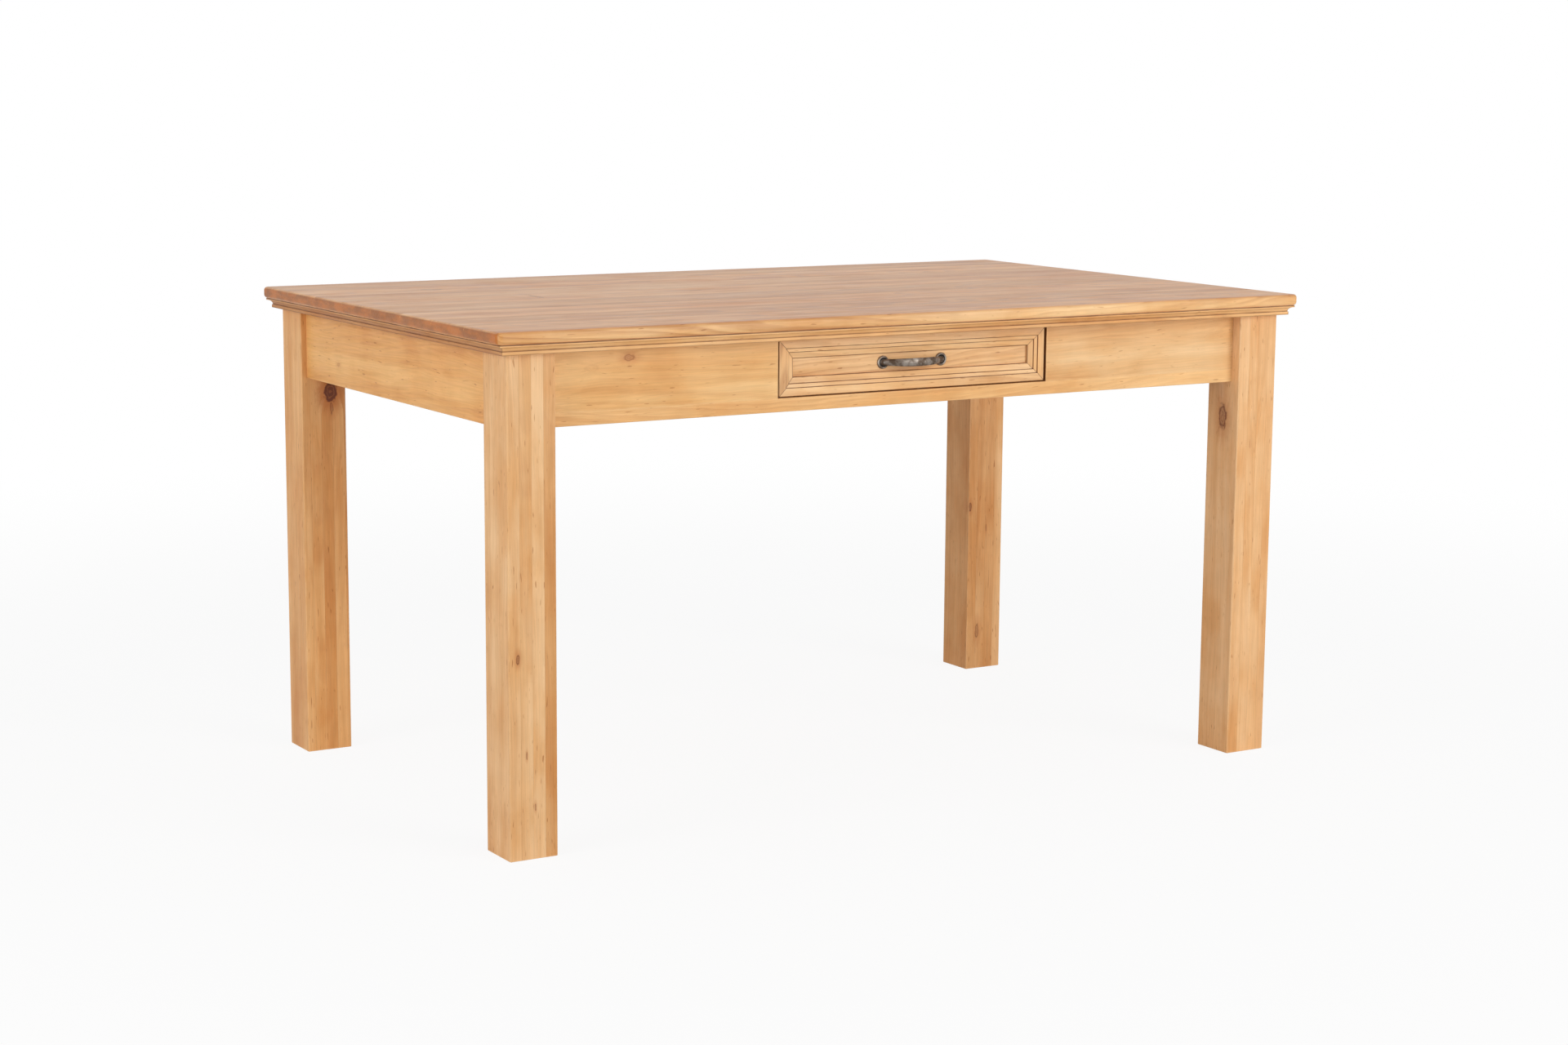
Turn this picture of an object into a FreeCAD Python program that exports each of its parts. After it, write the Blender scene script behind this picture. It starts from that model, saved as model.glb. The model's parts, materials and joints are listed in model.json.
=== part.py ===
import FreeCAD, Part
import math
import os

# Pine farmhouse table with a cornice-moulded top, square legs and one drawer in the front apron.
# Millimetres. The origin is on the floor under the middle of the top: +X is to the right as seen
# from the front, +Y to the back and +Z up. The drawer opens towards -Y.

# Top
TABLE_HEIGHT = 750.0
TOP_LENGTH = 1420.0
TOP_WIDTH = 870.0
TOP_THICKNESS = 18.0
TOP_BOARD_COUNT = 8
TOP_EDGE_UPPER_RADIUS = 3.0
TOP_EDGE_LOWER_RADIUS = 6.0

# Cornice moulding under the edge of the top, from its upper fillet down to its lower one
MOULDING_INSET = 4.5
UPPER_FILLET_HEIGHT = 3.0
UPPER_QUIRK = 1.0
COVE_RADIUS = 7.0
LOWER_LEDGE = 1.2
LOWER_FILLET_HEIGHT = 5.0
MOULDING_SPARE = 4.0

# Legs
LEG_SIZE = 75.0
LEG_EDGE_RADIUS = 2.0
LEG_CORNER_FLAT = 14.0
TOP_OVERHANG = 24.0

# Aprons
APRON_HEIGHT = 107.0
APRON_THICKNESS = 22.0
FRONT_SETBACK = 18.0
SIDE_SETBACK = 10.0
BOTTOM_RAIL_HEIGHT = 20.0
APRON_EDGE_RADIUS = 1.5

# Corner blocks, with the hanger bolts that draw each leg into its corner
CORNER_BLOCK_THICKNESS = 25.0
CORNER_BLOCK_GAP = 2.0
CORNER_BLOCK_TOP_GAP = 9.0
CORNER_BLOCK_DROP = 6.0
CORNER_SCREW_SPACING = 36.0
CORNER_SCREW_SEAT = 12.0
CORNER_SCREW_BITE = 16.0
HANGER_BOLT_RADIUS = 4.0
HANGER_BOLT_BITE = 45.0
HANGER_BOLT_TAIL = 5.0
HANGER_BOLT_SPACING = 34.0
WASHER_RADIUS = 10.0
WASHER_THICKNESS = 2.0
NUT_ACROSS_FLATS = 13.0
NUT_HEIGHT = 6.5

# Battens along the aprons that hold the top down
BATTEN_SIZE = 20.0
BATTEN_END_GAP = 12.0
SIDE_BATTEN_SCREWS = 4
BACK_BATTEN_SCREWS = 4
FRONT_BATTEN_SCREWS = 2
BATTEN_SCREW_MARGIN = 50.0
BATTEN_SCREW_BITE = 11.0

# Drawer opening and the guides and runners that carry the drawer
OPENING_WIDTH = 482.0
GUIDE_THICKNESS = 18.0
GUIDE_RISE = 10.0
GUIDE_TOP_GAP = 1.0
GUIDE_DOWEL_SPACING = 26.0
RUNNER_LENGTH = 320.0
RUNNER_HEIGHT = 11.4
RUNNER_GAP = 0.3
RUNNER_TIP_GAP = 0.6
RUNNER_SCREWS = 3
RUNNER_SCREW_MARGIN = 30.0
RUNNER_SCREW_BITE = 14.0

# Drawer
DRAWER_SIDE_GAP = 3.0
DRAWER_TOP_GAP = 3.0
DRAWER_BOTTOM_GAP = 2.0
DRAWER_RECESS = 1.5
DRAWER_DEPTH = 340.0
DRAWER_BOARD_THICKNESS = 12.0
DRAWER_SIDE_THICKNESS = 14.0
DRAWER_SIDE_RISE = 3.0
DRAWER_SIDE_DROP = 9.0
DRAWER_BACK_THICKNESS = 12.0
DRAWER_BACK_DROP = 5.0
DRAWER_BOTTOM_THICKNESS = 4.0
DRAWER_BOTTOM_RISE = 8.0
DRAWER_BOTTOM_TONGUE = 5.0
DRAWER_BOTTOM_GAP_IN_GROOVE = 0.2
RUNNER_GROOVE_DEPTH = 7.0
RUNNER_GROOVE_LAND = 20.0
DRAWER_DOWEL_MARGIN = 14.0
DRAWER_BOTTOM_SCREWS = 3
DRAWER_BOTTOM_SCREW_MARGIN = 60.0
DRAWER_BOTTOM_SCREW_BITE = 14.0

# Mitred frame on the drawer front: a flat band, two quirks and a slope down to the panel
FRAME_WIDTH = 27.5
FRAME_THICKNESS = 10.0
FRAME_BAND = 11.5
FRAME_QUIRK = 1.5
FRAME_BEAD = 6.0
FRAME_BEAD_FALL = 1.0
FRAME_SLOPE_FALL = 3.0
FRAME_EDGE_CHAMFER = 1.0

# Bow handle on two round rosettes
HANDLE_SPACING = 104.0
HANDLE_REACH = 22.0
HANDLE_POST_RADIUS = 3.8
HANDLE_MIDDLE_WIDTH = 12.5
HANDLE_MIDDLE_THICKNESS = 6.0
HANDLE_EDGE_CHAMFER = 1.6
ROSETTE_RADIUS = 10.0
ROSETTE_THICKNESS = 3.0
ROSETTE_RIM = 2.6
ROSETTE_DISH = 1.2
ROSETTE_BEVEL = 0.9
ROSETTE_SIDES = 24
HANDLE_SCREW_RADIUS = 2.0
HANDLE_SCREW_HEAD_RADIUS = 4.2
HANDLE_SCREW_HEAD_HEIGHT = 2.4
HANDLE_SCREW_BITE = 6.0

# Wood screws and dowels, which are many-sided in section
SCREW_RADIUS = 2.0
SCREW_HEAD_RADIUS = 4.0
SCREW_HEAD_HEIGHT = 2.2
DOWEL_RADIUS = 3.0
DOWEL_BITE = 10.0
DRAWER_DOWEL_BITE = 7.0
HOLE_GAP = 0.1
FASTENER_SIDES = 6
WASHER_SIDES = 12

# Places that follow from the sizes above
HALF_LENGTH = TOP_LENGTH / 2
HALF_WIDTH = TOP_WIDTH / 2
MOULDING_HEIGHT = UPPER_FILLET_HEIGHT + COVE_RADIUS + LOWER_FILLET_HEIGHT
BOARD_UNDERSIDE = TABLE_HEIGHT - TOP_THICKNESS
FRAME_TOP = BOARD_UNDERSIDE - MOULDING_HEIGHT
APRON_BOTTOM = FRAME_TOP - APRON_HEIGHT
LEG_OUTER_X = HALF_LENGTH - TOP_OVERHANG
LEG_OUTER_Y = HALF_WIDTH - TOP_OVERHANG
LEG_INNER_X = LEG_OUTER_X - LEG_SIZE
LEG_INNER_Y = LEG_OUTER_Y - LEG_SIZE
FRONT_FACE = LEG_OUTER_Y - FRONT_SETBACK
FRONT_INNER = FRONT_FACE - APRON_THICKNESS
SIDE_FACE = LEG_OUTER_X - SIDE_SETBACK
SIDE_INNER = SIDE_FACE - APRON_THICKNESS
BATTEN_BOTTOM = FRAME_TOP - BATTEN_SIZE
OPENING_HALF = OPENING_WIDTH / 2
OPENING_FLOOR = APRON_BOTTOM + BOTTOM_RAIL_HEIGHT
GUIDE_BOTTOM = OPENING_FLOOR + GUIDE_RISE
GUIDE_TOP = BATTEN_BOTTOM - GUIDE_TOP_GAP
BLOCK_BOTTOM = OPENING_FLOOR - CORNER_BLOCK_DROP
BLOCK_TOP = BATTEN_BOTTOM - CORNER_BLOCK_TOP_GAP
DRAWER_HALF = OPENING_HALF - DRAWER_SIDE_GAP
DRAWER_LOW = OPENING_FLOOR + DRAWER_BOTTOM_GAP
DRAWER_HIGH = FRAME_TOP - DRAWER_TOP_GAP
DRAWER_MIDDLE = (DRAWER_LOW + DRAWER_HIGH) / 2
DRAWER_FACE = -FRONT_FACE + DRAWER_RECESS
PANEL_FACE = DRAWER_FACE + FRAME_THICKNESS
BOX_FRONT = PANEL_FACE + DRAWER_BOARD_THICKNESS
BOX_BACK = BOX_FRONT + DRAWER_DEPTH
SIDE_LOW = DRAWER_LOW + DRAWER_SIDE_RISE
SIDE_HIGH = DRAWER_HIGH - DRAWER_SIDE_DROP
SIDE_INSIDE = DRAWER_HALF - DRAWER_SIDE_THICKNESS
DRAWER_FLOOR = SIDE_LOW + DRAWER_BOTTOM_RISE
RUNNER_LOW = (SIDE_LOW + SIDE_HIGH - RUNNER_HEIGHT) / 2
RUNNER_FRONT = BOX_FRONT + RUNNER_GROOVE_LAND + RUNNER_GAP
RUNNER_TIP = DRAWER_HALF - RUNNER_GROOVE_DEPTH + RUNNER_TIP_GAP

X_AXIS = FreeCAD.Vector(1, 0, 0)
Y_AXIS = FreeCAD.Vector(0, 1, 0)
Z_AXIS = FreeCAD.Vector(0, 0, 1)
ORIGIN = FreeCAD.Vector(0, 0, 0)
LEFT, RIGHT = -1, 1
FRONT, BACK = -1, 1
SIDES = {"left": LEFT, "right": RIGHT}
CORNERS = {
    "front_left": (LEFT, FRONT),
    "front_right": (RIGHT, FRONT),
    "back_left": (LEFT, BACK),
    "back_right": (RIGHT, BACK),
}


def vec(x, y, z):
    """A point or direction."""
    return FreeCAD.Vector(x, y, z)


def block(x_span, y_span, z_span):
    """A box between two limits along each axis, given in either order."""
    low = vec(min(x_span), min(y_span), min(z_span))
    high = vec(max(x_span), max(y_span), max(z_span))
    size = high - low
    return Part.makeBox(size.x, size.y, size.z, low)


def corners(centre, way, radius, sides):
    """The corners of a regular outline square to a direction."""
    across = way.cross(Z_AXIS if abs(way.z) < way.Length / 2 else X_AXIS).normalize()
    upward = across.cross(way).normalize()
    turns = [2 * math.pi * (index + 0.5) / sides for index in range(sides)]
    return [centre + (across * math.cos(turn) + upward * math.sin(turn)) * radius for turn in turns]


def flat_face(points):
    """A flat face on a closed outline."""
    return Part.Face(Part.makePolygon(points + points[:1]))


def taper(start, end, start_radius, end_radius, sides=FASTENER_SIDES):
    """A many-sided bar between two points that widens or narrows from one to the other."""
    near = corners(start, end - start, start_radius, sides)
    far = corners(end, end - start, end_radius, sides)
    faces = [flat_face(near), flat_face(far)]
    for index in range(sides):
        faces.append(flat_face([near[index - 1], near[index], far[index], far[index - 1]]))
    return Part.makeSolid(Part.makeShell(faces))


def rod(radius, start, end, sides=FASTENER_SIDES):
    """A many-sided bar between two points."""
    return flat_face(corners(start, end - start, radius, sides)).extrude(end - start)


def prism(plan, z_low, z_high):
    """An upright prism on a closed plan of (x, y) points."""
    return flat_face([vec(x, y, z_low) for x, y in plan]).extrude(Z_AXIS * (z_high - z_low))


def rounded(solid, radius, chosen):
    """The solid with a fillet on the edges that the test picks."""
    return solid.makeFillet(radius, [edge for edge in solid.Edges if chosen(edge)])


def eased(solid, size, chosen):
    """The solid with a small chamfer on the edges that the test picks."""
    return solid.makeChamfer(size, [edge for edge in solid.Edges if chosen(edge)])


def runs_along(axis):
    """A test for straight edges parallel to an axis."""
    def test(edge):
        way = edge.lastVertex().Point - edge.firstVertex().Point
        return abs(abs(way.dot(axis)) - way.Length) < 1e-6
    return test


def at_height(z):
    """A test for edges that lie level at a height."""
    return lambda edge: abs(edge.BoundBox.ZMin - z) < 1e-6 and abs(edge.BoundBox.ZMax - z) < 1e-6


def spread(low, high, count, margin):
    """Evenly spaced places between two limits, the outer ones a margin in from them."""
    first = low + margin
    step = (high - low - 2 * margin) / max(count - 1, 1)
    return [first + step * index for index in range(count)]


def screw(head, way, length, grow=0.0):
    """A countersunk wood screw from the middle of its head, driven along a unit direction."""
    neck = head + way * SCREW_HEAD_HEIGHT
    cone = taper(head, neck, SCREW_HEAD_RADIUS + grow, SCREW_RADIUS + grow)
    shank = rod(SCREW_RADIUS + grow, head, head + way * (length + grow))
    return cone.fuse(shank).removeSplitter()


def profile(across, up, start, *steps):
    """A closed face on two directions. A step is an end point, or a middle and an end point of an arc."""
    def point(place):
        return across * place[0] + up * place[1]

    edges = []
    here = point(start)
    for step in steps:
        if isinstance(step[0], tuple):
            middle, end = point(step[0]), point(step[1])
            edges.append(Part.Arc(here, middle, end).toShape())
        else:
            end = point(step)
            edges.append(Part.LineSegment(here, end).toShape())
        here = end
    edges.append(Part.LineSegment(here, point(start)).toShape())
    return Part.Face(Part.Wire(edges))


def mitred_strip(section, length, strip_width, height):
    """A strip along X with its outer edge at y = 0, mitred at both ends."""
    half = length / 2
    bar = section.extrude(X_AXIS * length).translated(X_AXIS * -half)
    plan = [(-half, 0), (half, 0), (half - strip_width, strip_width), (strip_width - half, strip_width)]
    return bar.common(prism(plan, 0, height))


def mitred_ring(section, length, width, strip_width, height):
    """Four mitred strips round a rectangle on the XY plane, keyed by the side they lie on."""
    strips = {}
    runs = {"front": (length, width, 0), "right": (width, length, 90),
            "back": (length, width, 180), "left": (width, length, 270)}
    for side, (run, across, turn) in runs.items():
        strip = mitred_strip(section, run, strip_width, height)
        strip = strip.translated(Y_AXIS * (-across / 2))
        strips[side] = strip.rotate(ORIGIN, Z_AXIS, turn)
    return strips


def drill(nodes, names, cutters):
    """Cuts the holes out of the named pieces."""
    for name in names:
        nodes[name] = nodes[name].cut(cutters)


def top_boards():
    """The glued-up top, rounded round its edge, as the boards that it is made of."""
    slab = block((-HALF_LENGTH, HALF_LENGTH), (-HALF_WIDTH, HALF_WIDTH), (BOARD_UNDERSIDE, TABLE_HEIGHT))
    slab = rounded(slab, TOP_EDGE_UPPER_RADIUS, at_height(TABLE_HEIGHT))
    slab = rounded(slab, TOP_EDGE_LOWER_RADIUS, at_height(BOARD_UNDERSIDE))
    board_width = TOP_WIDTH / TOP_BOARD_COUNT
    boards = {}
    for index in range(TOP_BOARD_COUNT):
        near = -HALF_WIDTH + board_width * index
        lane = block((-HALF_LENGTH, HALF_LENGTH), (near, near + board_width), (BOARD_UNDERSIDE, TABLE_HEIGHT))
        boards[f"top_board_{index + 1}"] = slab.common(lane)
    return boards


def top_mouldings():
    """The mitred cornice strips under the edge of the top: fillet, quirk, cove, ledge and fillet."""
    strip_width = (TOP_OVERHANG + max(FRONT_SETBACK, SIDE_SETBACK) + APRON_THICKNESS + BATTEN_SIZE
                   + MOULDING_SPARE - MOULDING_INSET)
    cove_top = LOWER_FILLET_HEIGHT + COVE_RADIUS
    cove_end = UPPER_QUIRK + COVE_RADIUS
    bulge = COVE_RADIUS * math.sqrt(0.5)
    section = profile(
        Y_AXIS, Z_AXIS,
        (0, MOULDING_HEIGHT),
        (0, cove_top),
        (UPPER_QUIRK, cove_top),
        ((UPPER_QUIRK + bulge, LOWER_FILLET_HEIGHT + bulge), (cove_end, LOWER_FILLET_HEIGHT)),
        (cove_end - LOWER_LEDGE, LOWER_FILLET_HEIGHT),
        (cove_end - LOWER_LEDGE, 0),
        (strip_width, 0),
        (strip_width, MOULDING_HEIGHT),
    )
    strips = mitred_ring(section, TOP_LENGTH - 2 * MOULDING_INSET, TOP_WIDTH - 2 * MOULDING_INSET,
                         strip_width, MOULDING_HEIGHT)
    return {f"top_moulding_{side}": strip.translated(Z_AXIS * FRAME_TOP) for side, strip in strips.items()}


def leg(side, end):
    """A square leg with rounded edges and a flat on its inner corner, where its bolts enter."""
    post = block((side * LEG_INNER_X, side * LEG_OUTER_X), (end * LEG_INNER_Y, end * LEG_OUTER_Y),
                 (0, FRAME_TOP))
    post = rounded(post, LEG_EDGE_RADIUS, runs_along(Z_AXIS))
    corner = [(LEG_INNER_X, LEG_INNER_Y), (LEG_INNER_X + LEG_CORNER_FLAT, LEG_INNER_Y),
              (LEG_INNER_X, LEG_INNER_Y + LEG_CORNER_FLAT)]
    flat = prism([(side * x, end * y) for x, y in corner], APRON_BOTTOM, FRAME_TOP)
    return post.cut(flat)


def aprons():
    """The boards between the legs. The front has a full-length rail and a panel each side of the drawer."""
    pieces = {}
    long_run = (-LEG_INNER_X, LEG_INNER_X)
    short_run = (-LEG_INNER_Y, LEG_INNER_Y)
    height = (APRON_BOTTOM, FRAME_TOP)
    pieces["back_apron"] = block(long_run, (FRONT_INNER, FRONT_FACE), height)
    pieces["front_bottom_rail"] = block(long_run, (-FRONT_INNER, -FRONT_FACE), (APRON_BOTTOM, OPENING_FLOOR))
    for name, side in SIDES.items():
        pieces[f"{name}_apron"] = block((side * SIDE_INNER, side * SIDE_FACE), short_run, height)
        pieces[f"front_panel_{name}"] = block((side * OPENING_HALF, side * LEG_INNER_X),
                                              (-FRONT_INNER, -FRONT_FACE), (OPENING_FLOOR, FRAME_TOP))
    for name in ("back_apron", "left_apron", "right_apron", "front_bottom_rail"):
        pieces[name] = rounded(pieces[name], APRON_EDGE_RADIUS, lambda edge: (
            at_height(APRON_BOTTOM)(edge) and edge.Length > LEG_SIZE))
    return pieces


def corner_joint(side, end):
    """A corner block and its fasteners, with the shapes that their holes take out of each neighbour."""
    flat_sum = LEG_INNER_X + LEG_INNER_Y + LEG_CORNER_FLAT
    outer_sum = flat_sum - CORNER_BLOCK_GAP * math.sqrt(2)
    inner_sum = outer_sum - CORNER_BLOCK_THICKNESS * math.sqrt(2)
    plan = [(SIDE_INNER, outer_sum - SIDE_INNER), (outer_sum - FRONT_INNER, FRONT_INNER),
            (inner_sum - FRONT_INNER, FRONT_INNER), (SIDE_INNER, inner_sum - SIDE_INNER)]
    middle = (BLOCK_BOTTOM + BLOCK_TOP) / 2
    wedge = prism([(side * x, end * y) for x, y in plan], BLOCK_BOTTOM, BLOCK_TOP)

    outward = vec(side, end, 0) * math.sqrt(0.5)
    joint = {"bolts": [], "washers": [], "nuts": [], "bolt_holes": [], "screws": [], "screw_holes": []}
    for level in (-1, 1):
        z = middle + level * HANGER_BOLT_SPACING / 2
        face = vec(side * (LEG_INNER_X + LEG_CORNER_FLAT / 2), end * (LEG_INNER_Y + LEG_CORNER_FLAT / 2), z)
        tip = face + outward * HANGER_BOLT_BITE
        seat = face - outward * (CORNER_BLOCK_GAP + CORNER_BLOCK_THICKNESS)
        nut_seat = seat - outward * WASHER_THICKNESS
        nut_end = nut_seat - outward * NUT_HEIGHT
        tail = nut_end - outward * HANGER_BOLT_TAIL
        hole = rod(HANGER_BOLT_RADIUS + HOLE_GAP, tail, tip + outward * HOLE_GAP)
        joint["bolts"].append(rod(HANGER_BOLT_RADIUS, tail, tip))
        joint["washers"].append(rod(WASHER_RADIUS, seat, nut_seat, WASHER_SIDES).cut(hole))
        joint["nuts"].append(rod(NUT_ACROSS_FLATS / math.sqrt(3), nut_seat, nut_end).cut(hole))
        joint["bolt_holes"].append(hole)

    side_end = (outer_sum + inner_sum) / 2 - SIDE_INNER
    front_end = (outer_sum + inner_sum) / 2 - FRONT_INNER
    entries = [(vec(side * (SIDE_INNER - CORNER_SCREW_SEAT), end * side_end, 0), vec(side, 0, 0)),
               (vec(side * front_end, end * (FRONT_INNER - CORNER_SCREW_SEAT), 0), vec(0, end, 0))]
    for entry, way in entries:
        for level in (-1, 1):
            head = entry + Z_AXIS * (middle + level * CORNER_SCREW_SPACING / 2)
            length = CORNER_SCREW_SEAT + CORNER_SCREW_BITE
            pocket = rod(SCREW_HEAD_RADIUS + HOLE_GAP, head - way * CORNER_BLOCK_THICKNESS, head)
            joint["screws"].append(screw(head, way, length))
            joint["screw_holes"].append(screw(head, way, length, HOLE_GAP).fuse(pocket))
    joint["block"] = wedge.cut(joint["bolt_holes"] + joint["screw_holes"])
    return joint


def battens():
    """The battens along the aprons and the places of their screws, which run up into the top."""
    height = (BATTEN_BOTTOM, FRAME_TOP)
    side_run = (-LEG_INNER_Y + BATTEN_END_GAP, LEG_INNER_Y - BATTEN_END_GAP)
    long_reach = LEG_INNER_X - BATTEN_END_GAP
    pieces, heads = {}, {}
    pieces["top_batten_back"] = block((-long_reach, long_reach), (FRONT_INNER - BATTEN_SIZE, FRONT_INNER),
                                      height)
    heads["top_batten_back"] = [(x, FRONT_INNER - BATTEN_SIZE / 2) for x in
                                spread(-long_reach, long_reach, BACK_BATTEN_SCREWS, BATTEN_SCREW_MARGIN)]
    for name, side in SIDES.items():
        inner = side * (SIDE_INNER - BATTEN_SIZE)
        pieces[f"top_batten_{name}"] = block((inner, side * SIDE_INNER), side_run, height)
        heads[f"top_batten_{name}"] = [(side * (SIDE_INNER - BATTEN_SIZE / 2), y) for y in
                                       spread(*side_run, SIDE_BATTEN_SCREWS, BATTEN_SCREW_MARGIN)]
        front = f"top_batten_front_{name}"
        pieces[front] = block((side * OPENING_HALF, side * long_reach),
                              (-FRONT_INNER, -FRONT_INNER + BATTEN_SIZE), height)
        heads[front] = [(side * x, -FRONT_INNER + BATTEN_SIZE / 2) for x in
                        spread(OPENING_HALF, long_reach, FRONT_BATTEN_SCREWS, BATTEN_SCREW_MARGIN)]
    return pieces, heads


def drawer_guides():
    """The guides beside the drawer, from front to back, each with a runner strip on its inner face."""
    pieces = {}
    for name, side in SIDES.items():
        pieces[f"drawer_guide_{name}"] = block(
            (side * OPENING_HALF, side * (OPENING_HALF + GUIDE_THICKNESS)), (-FRONT_INNER, FRONT_INNER),
            (GUIDE_BOTTOM, GUIDE_TOP))
        pieces[f"drawer_runner_{name}"] = block(
            (side * RUNNER_TIP, side * OPENING_HALF), (RUNNER_FRONT, RUNNER_FRONT + RUNNER_LENGTH),
            (RUNNER_LOW, RUNNER_LOW + RUNNER_HEIGHT))
    return pieces


def guide_dowels(grow=0.0):
    """The dowels that hold both ends of the guides to the front panels and the back apron."""
    dowels = []
    x = OPENING_HALF + GUIDE_THICKNESS / 2
    reach = DOWEL_BITE + grow
    for side in SIDES.values():
        for level in (-1, 1):
            z = (GUIDE_BOTTOM + GUIDE_TOP) / 2 + level * GUIDE_DOWEL_SPACING / 2
            for seam in (-FRONT_INNER, FRONT_INNER):
                start = vec(side * x, seam - reach, z)
                dowels.append(rod(DOWEL_RADIUS + grow, start, start + Y_AXIS * (2 * reach)))
    return dowels


def runner_screws(grow=0.0):
    """The screws that fix the runner strips to the guides, with their heads flush in the strips."""
    places = spread(RUNNER_FRONT, RUNNER_FRONT + RUNNER_LENGTH, RUNNER_SCREWS, RUNNER_SCREW_MARGIN)
    length = OPENING_HALF - RUNNER_TIP + RUNNER_SCREW_BITE
    z = RUNNER_LOW + RUNNER_HEIGHT / 2
    return [screw(vec(side * RUNNER_TIP, y, z), vec(side, 0, 0), length, grow)
            for side in SIDES.values() for y in places]


def drawer_front():
    """The drawer's front board and the mitred frame on it, which leaves a sunk panel in the middle."""
    board = block((-DRAWER_HALF, DRAWER_HALF), (PANEL_FACE, BOX_FRONT), (DRAWER_LOW, DRAWER_HIGH))
    bead_end = FRAME_BAND + FRAME_BEAD
    bead_top = FRAME_THICKNESS - FRAME_QUIRK
    bead_low = bead_top - FRAME_BEAD_FALL
    slope_top = bead_low - FRAME_QUIRK
    section = profile(
        Y_AXIS, Z_AXIS,
        (0, 0),
        (0, FRAME_THICKNESS - FRAME_EDGE_CHAMFER),
        (FRAME_EDGE_CHAMFER, FRAME_THICKNESS),
        (FRAME_BAND, FRAME_THICKNESS),
        (FRAME_BAND, bead_top),
        (bead_end, bead_low),
        (bead_end, slope_top),
        (FRAME_WIDTH, slope_top - FRAME_SLOPE_FALL),
        (FRAME_WIDTH, 0),
    )
    strips = mitred_ring(section, 2 * DRAWER_HALF, DRAWER_HIGH - DRAWER_LOW, FRAME_WIDTH, FRAME_THICKNESS)
    names = {"front": "drawer_rail_bottom", "back": "drawer_rail_top",
             "left": "drawer_stile_left", "right": "drawer_stile_right"}
    pieces = {"drawer_panel": board}
    for side, strip in strips.items():
        upright = strip.rotate(ORIGIN, X_AXIS, 90)
        pieces[names[side]] = upright.translated(vec(0, PANEL_FACE, DRAWER_MIDDLE))
    return pieces


def drawer_box(front_board):
    """The drawer's sides, back and bottom, with the front board grooved for the bottom."""
    tongue = DRAWER_BOTTOM_TONGUE
    slack = DRAWER_BOTTOM_GAP_IN_GROOVE
    floor = (DRAWER_FLOOR, DRAWER_FLOOR + DRAWER_BOTTOM_THICKNESS)
    groove = block((-SIDE_INSIDE - tongue, SIDE_INSIDE + tongue), (BOX_FRONT - tongue, BOX_BACK),
                   (floor[0], floor[1] + slack))
    pieces = {"drawer_panel": front_board.cut(groove)}
    for name, side in SIDES.items():
        board = block((side * SIDE_INSIDE, side * DRAWER_HALF), (BOX_FRONT, BOX_BACK), (SIDE_LOW, SIDE_HIGH))
        channel = block((side * (DRAWER_HALF - RUNNER_GROOVE_DEPTH), side * DRAWER_HALF),
                        (BOX_FRONT + RUNNER_GROOVE_LAND, BOX_BACK),
                        (RUNNER_LOW - RUNNER_GAP, RUNNER_LOW + RUNNER_HEIGHT + RUNNER_GAP))
        pieces[f"drawer_side_{name}"] = board.cut([groove, channel])
    reach = SIDE_INSIDE + tongue - slack
    pieces["drawer_bottom"] = block((-reach, reach), (BOX_FRONT - tongue + slack, BOX_BACK), floor)
    pieces["drawer_back"] = block((-SIDE_INSIDE, SIDE_INSIDE), (BOX_BACK - DRAWER_BACK_THICKNESS, BOX_BACK),
                                  (floor[1], SIDE_HIGH - DRAWER_BACK_DROP))
    return pieces


def drawer_dowels(grow=0.0):
    """The dowels between the drawer's sides and its front and back."""
    dowels = []
    reach = DRAWER_DOWEL_BITE + grow
    y = BOX_BACK - DRAWER_BACK_THICKNESS / 2
    for side in SIDES.values():
        x = side * (SIDE_INSIDE + DRAWER_SIDE_THICKNESS / 2)
        seam = side * SIDE_INSIDE
        for z in (DRAWER_FLOOR + DRAWER_DOWEL_MARGIN, SIDE_HIGH - DRAWER_DOWEL_MARGIN):
            front = vec(x, BOX_FRONT - reach, z)
            back = vec(seam - reach, y, z)
            dowels.append(rod(DOWEL_RADIUS + grow, front, front + Y_AXIS * (2 * reach)))
            dowels.append(rod(DOWEL_RADIUS + grow, back, back + X_AXIS * (2 * reach)))
    return dowels


def drawer_bottom_screws(grow=0.0):
    """The screws up through the drawer's bottom into its back."""
    places = spread(-SIDE_INSIDE, SIDE_INSIDE, DRAWER_BOTTOM_SCREWS, DRAWER_BOTTOM_SCREW_MARGIN)
    length = DRAWER_BOTTOM_THICKNESS + DRAWER_BOTTOM_SCREW_BITE
    y = BOX_BACK - DRAWER_BACK_THICKNESS / 2
    return [screw(vec(x, y, DRAWER_FLOOR), Z_AXIS, length, grow) for x in places]


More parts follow.
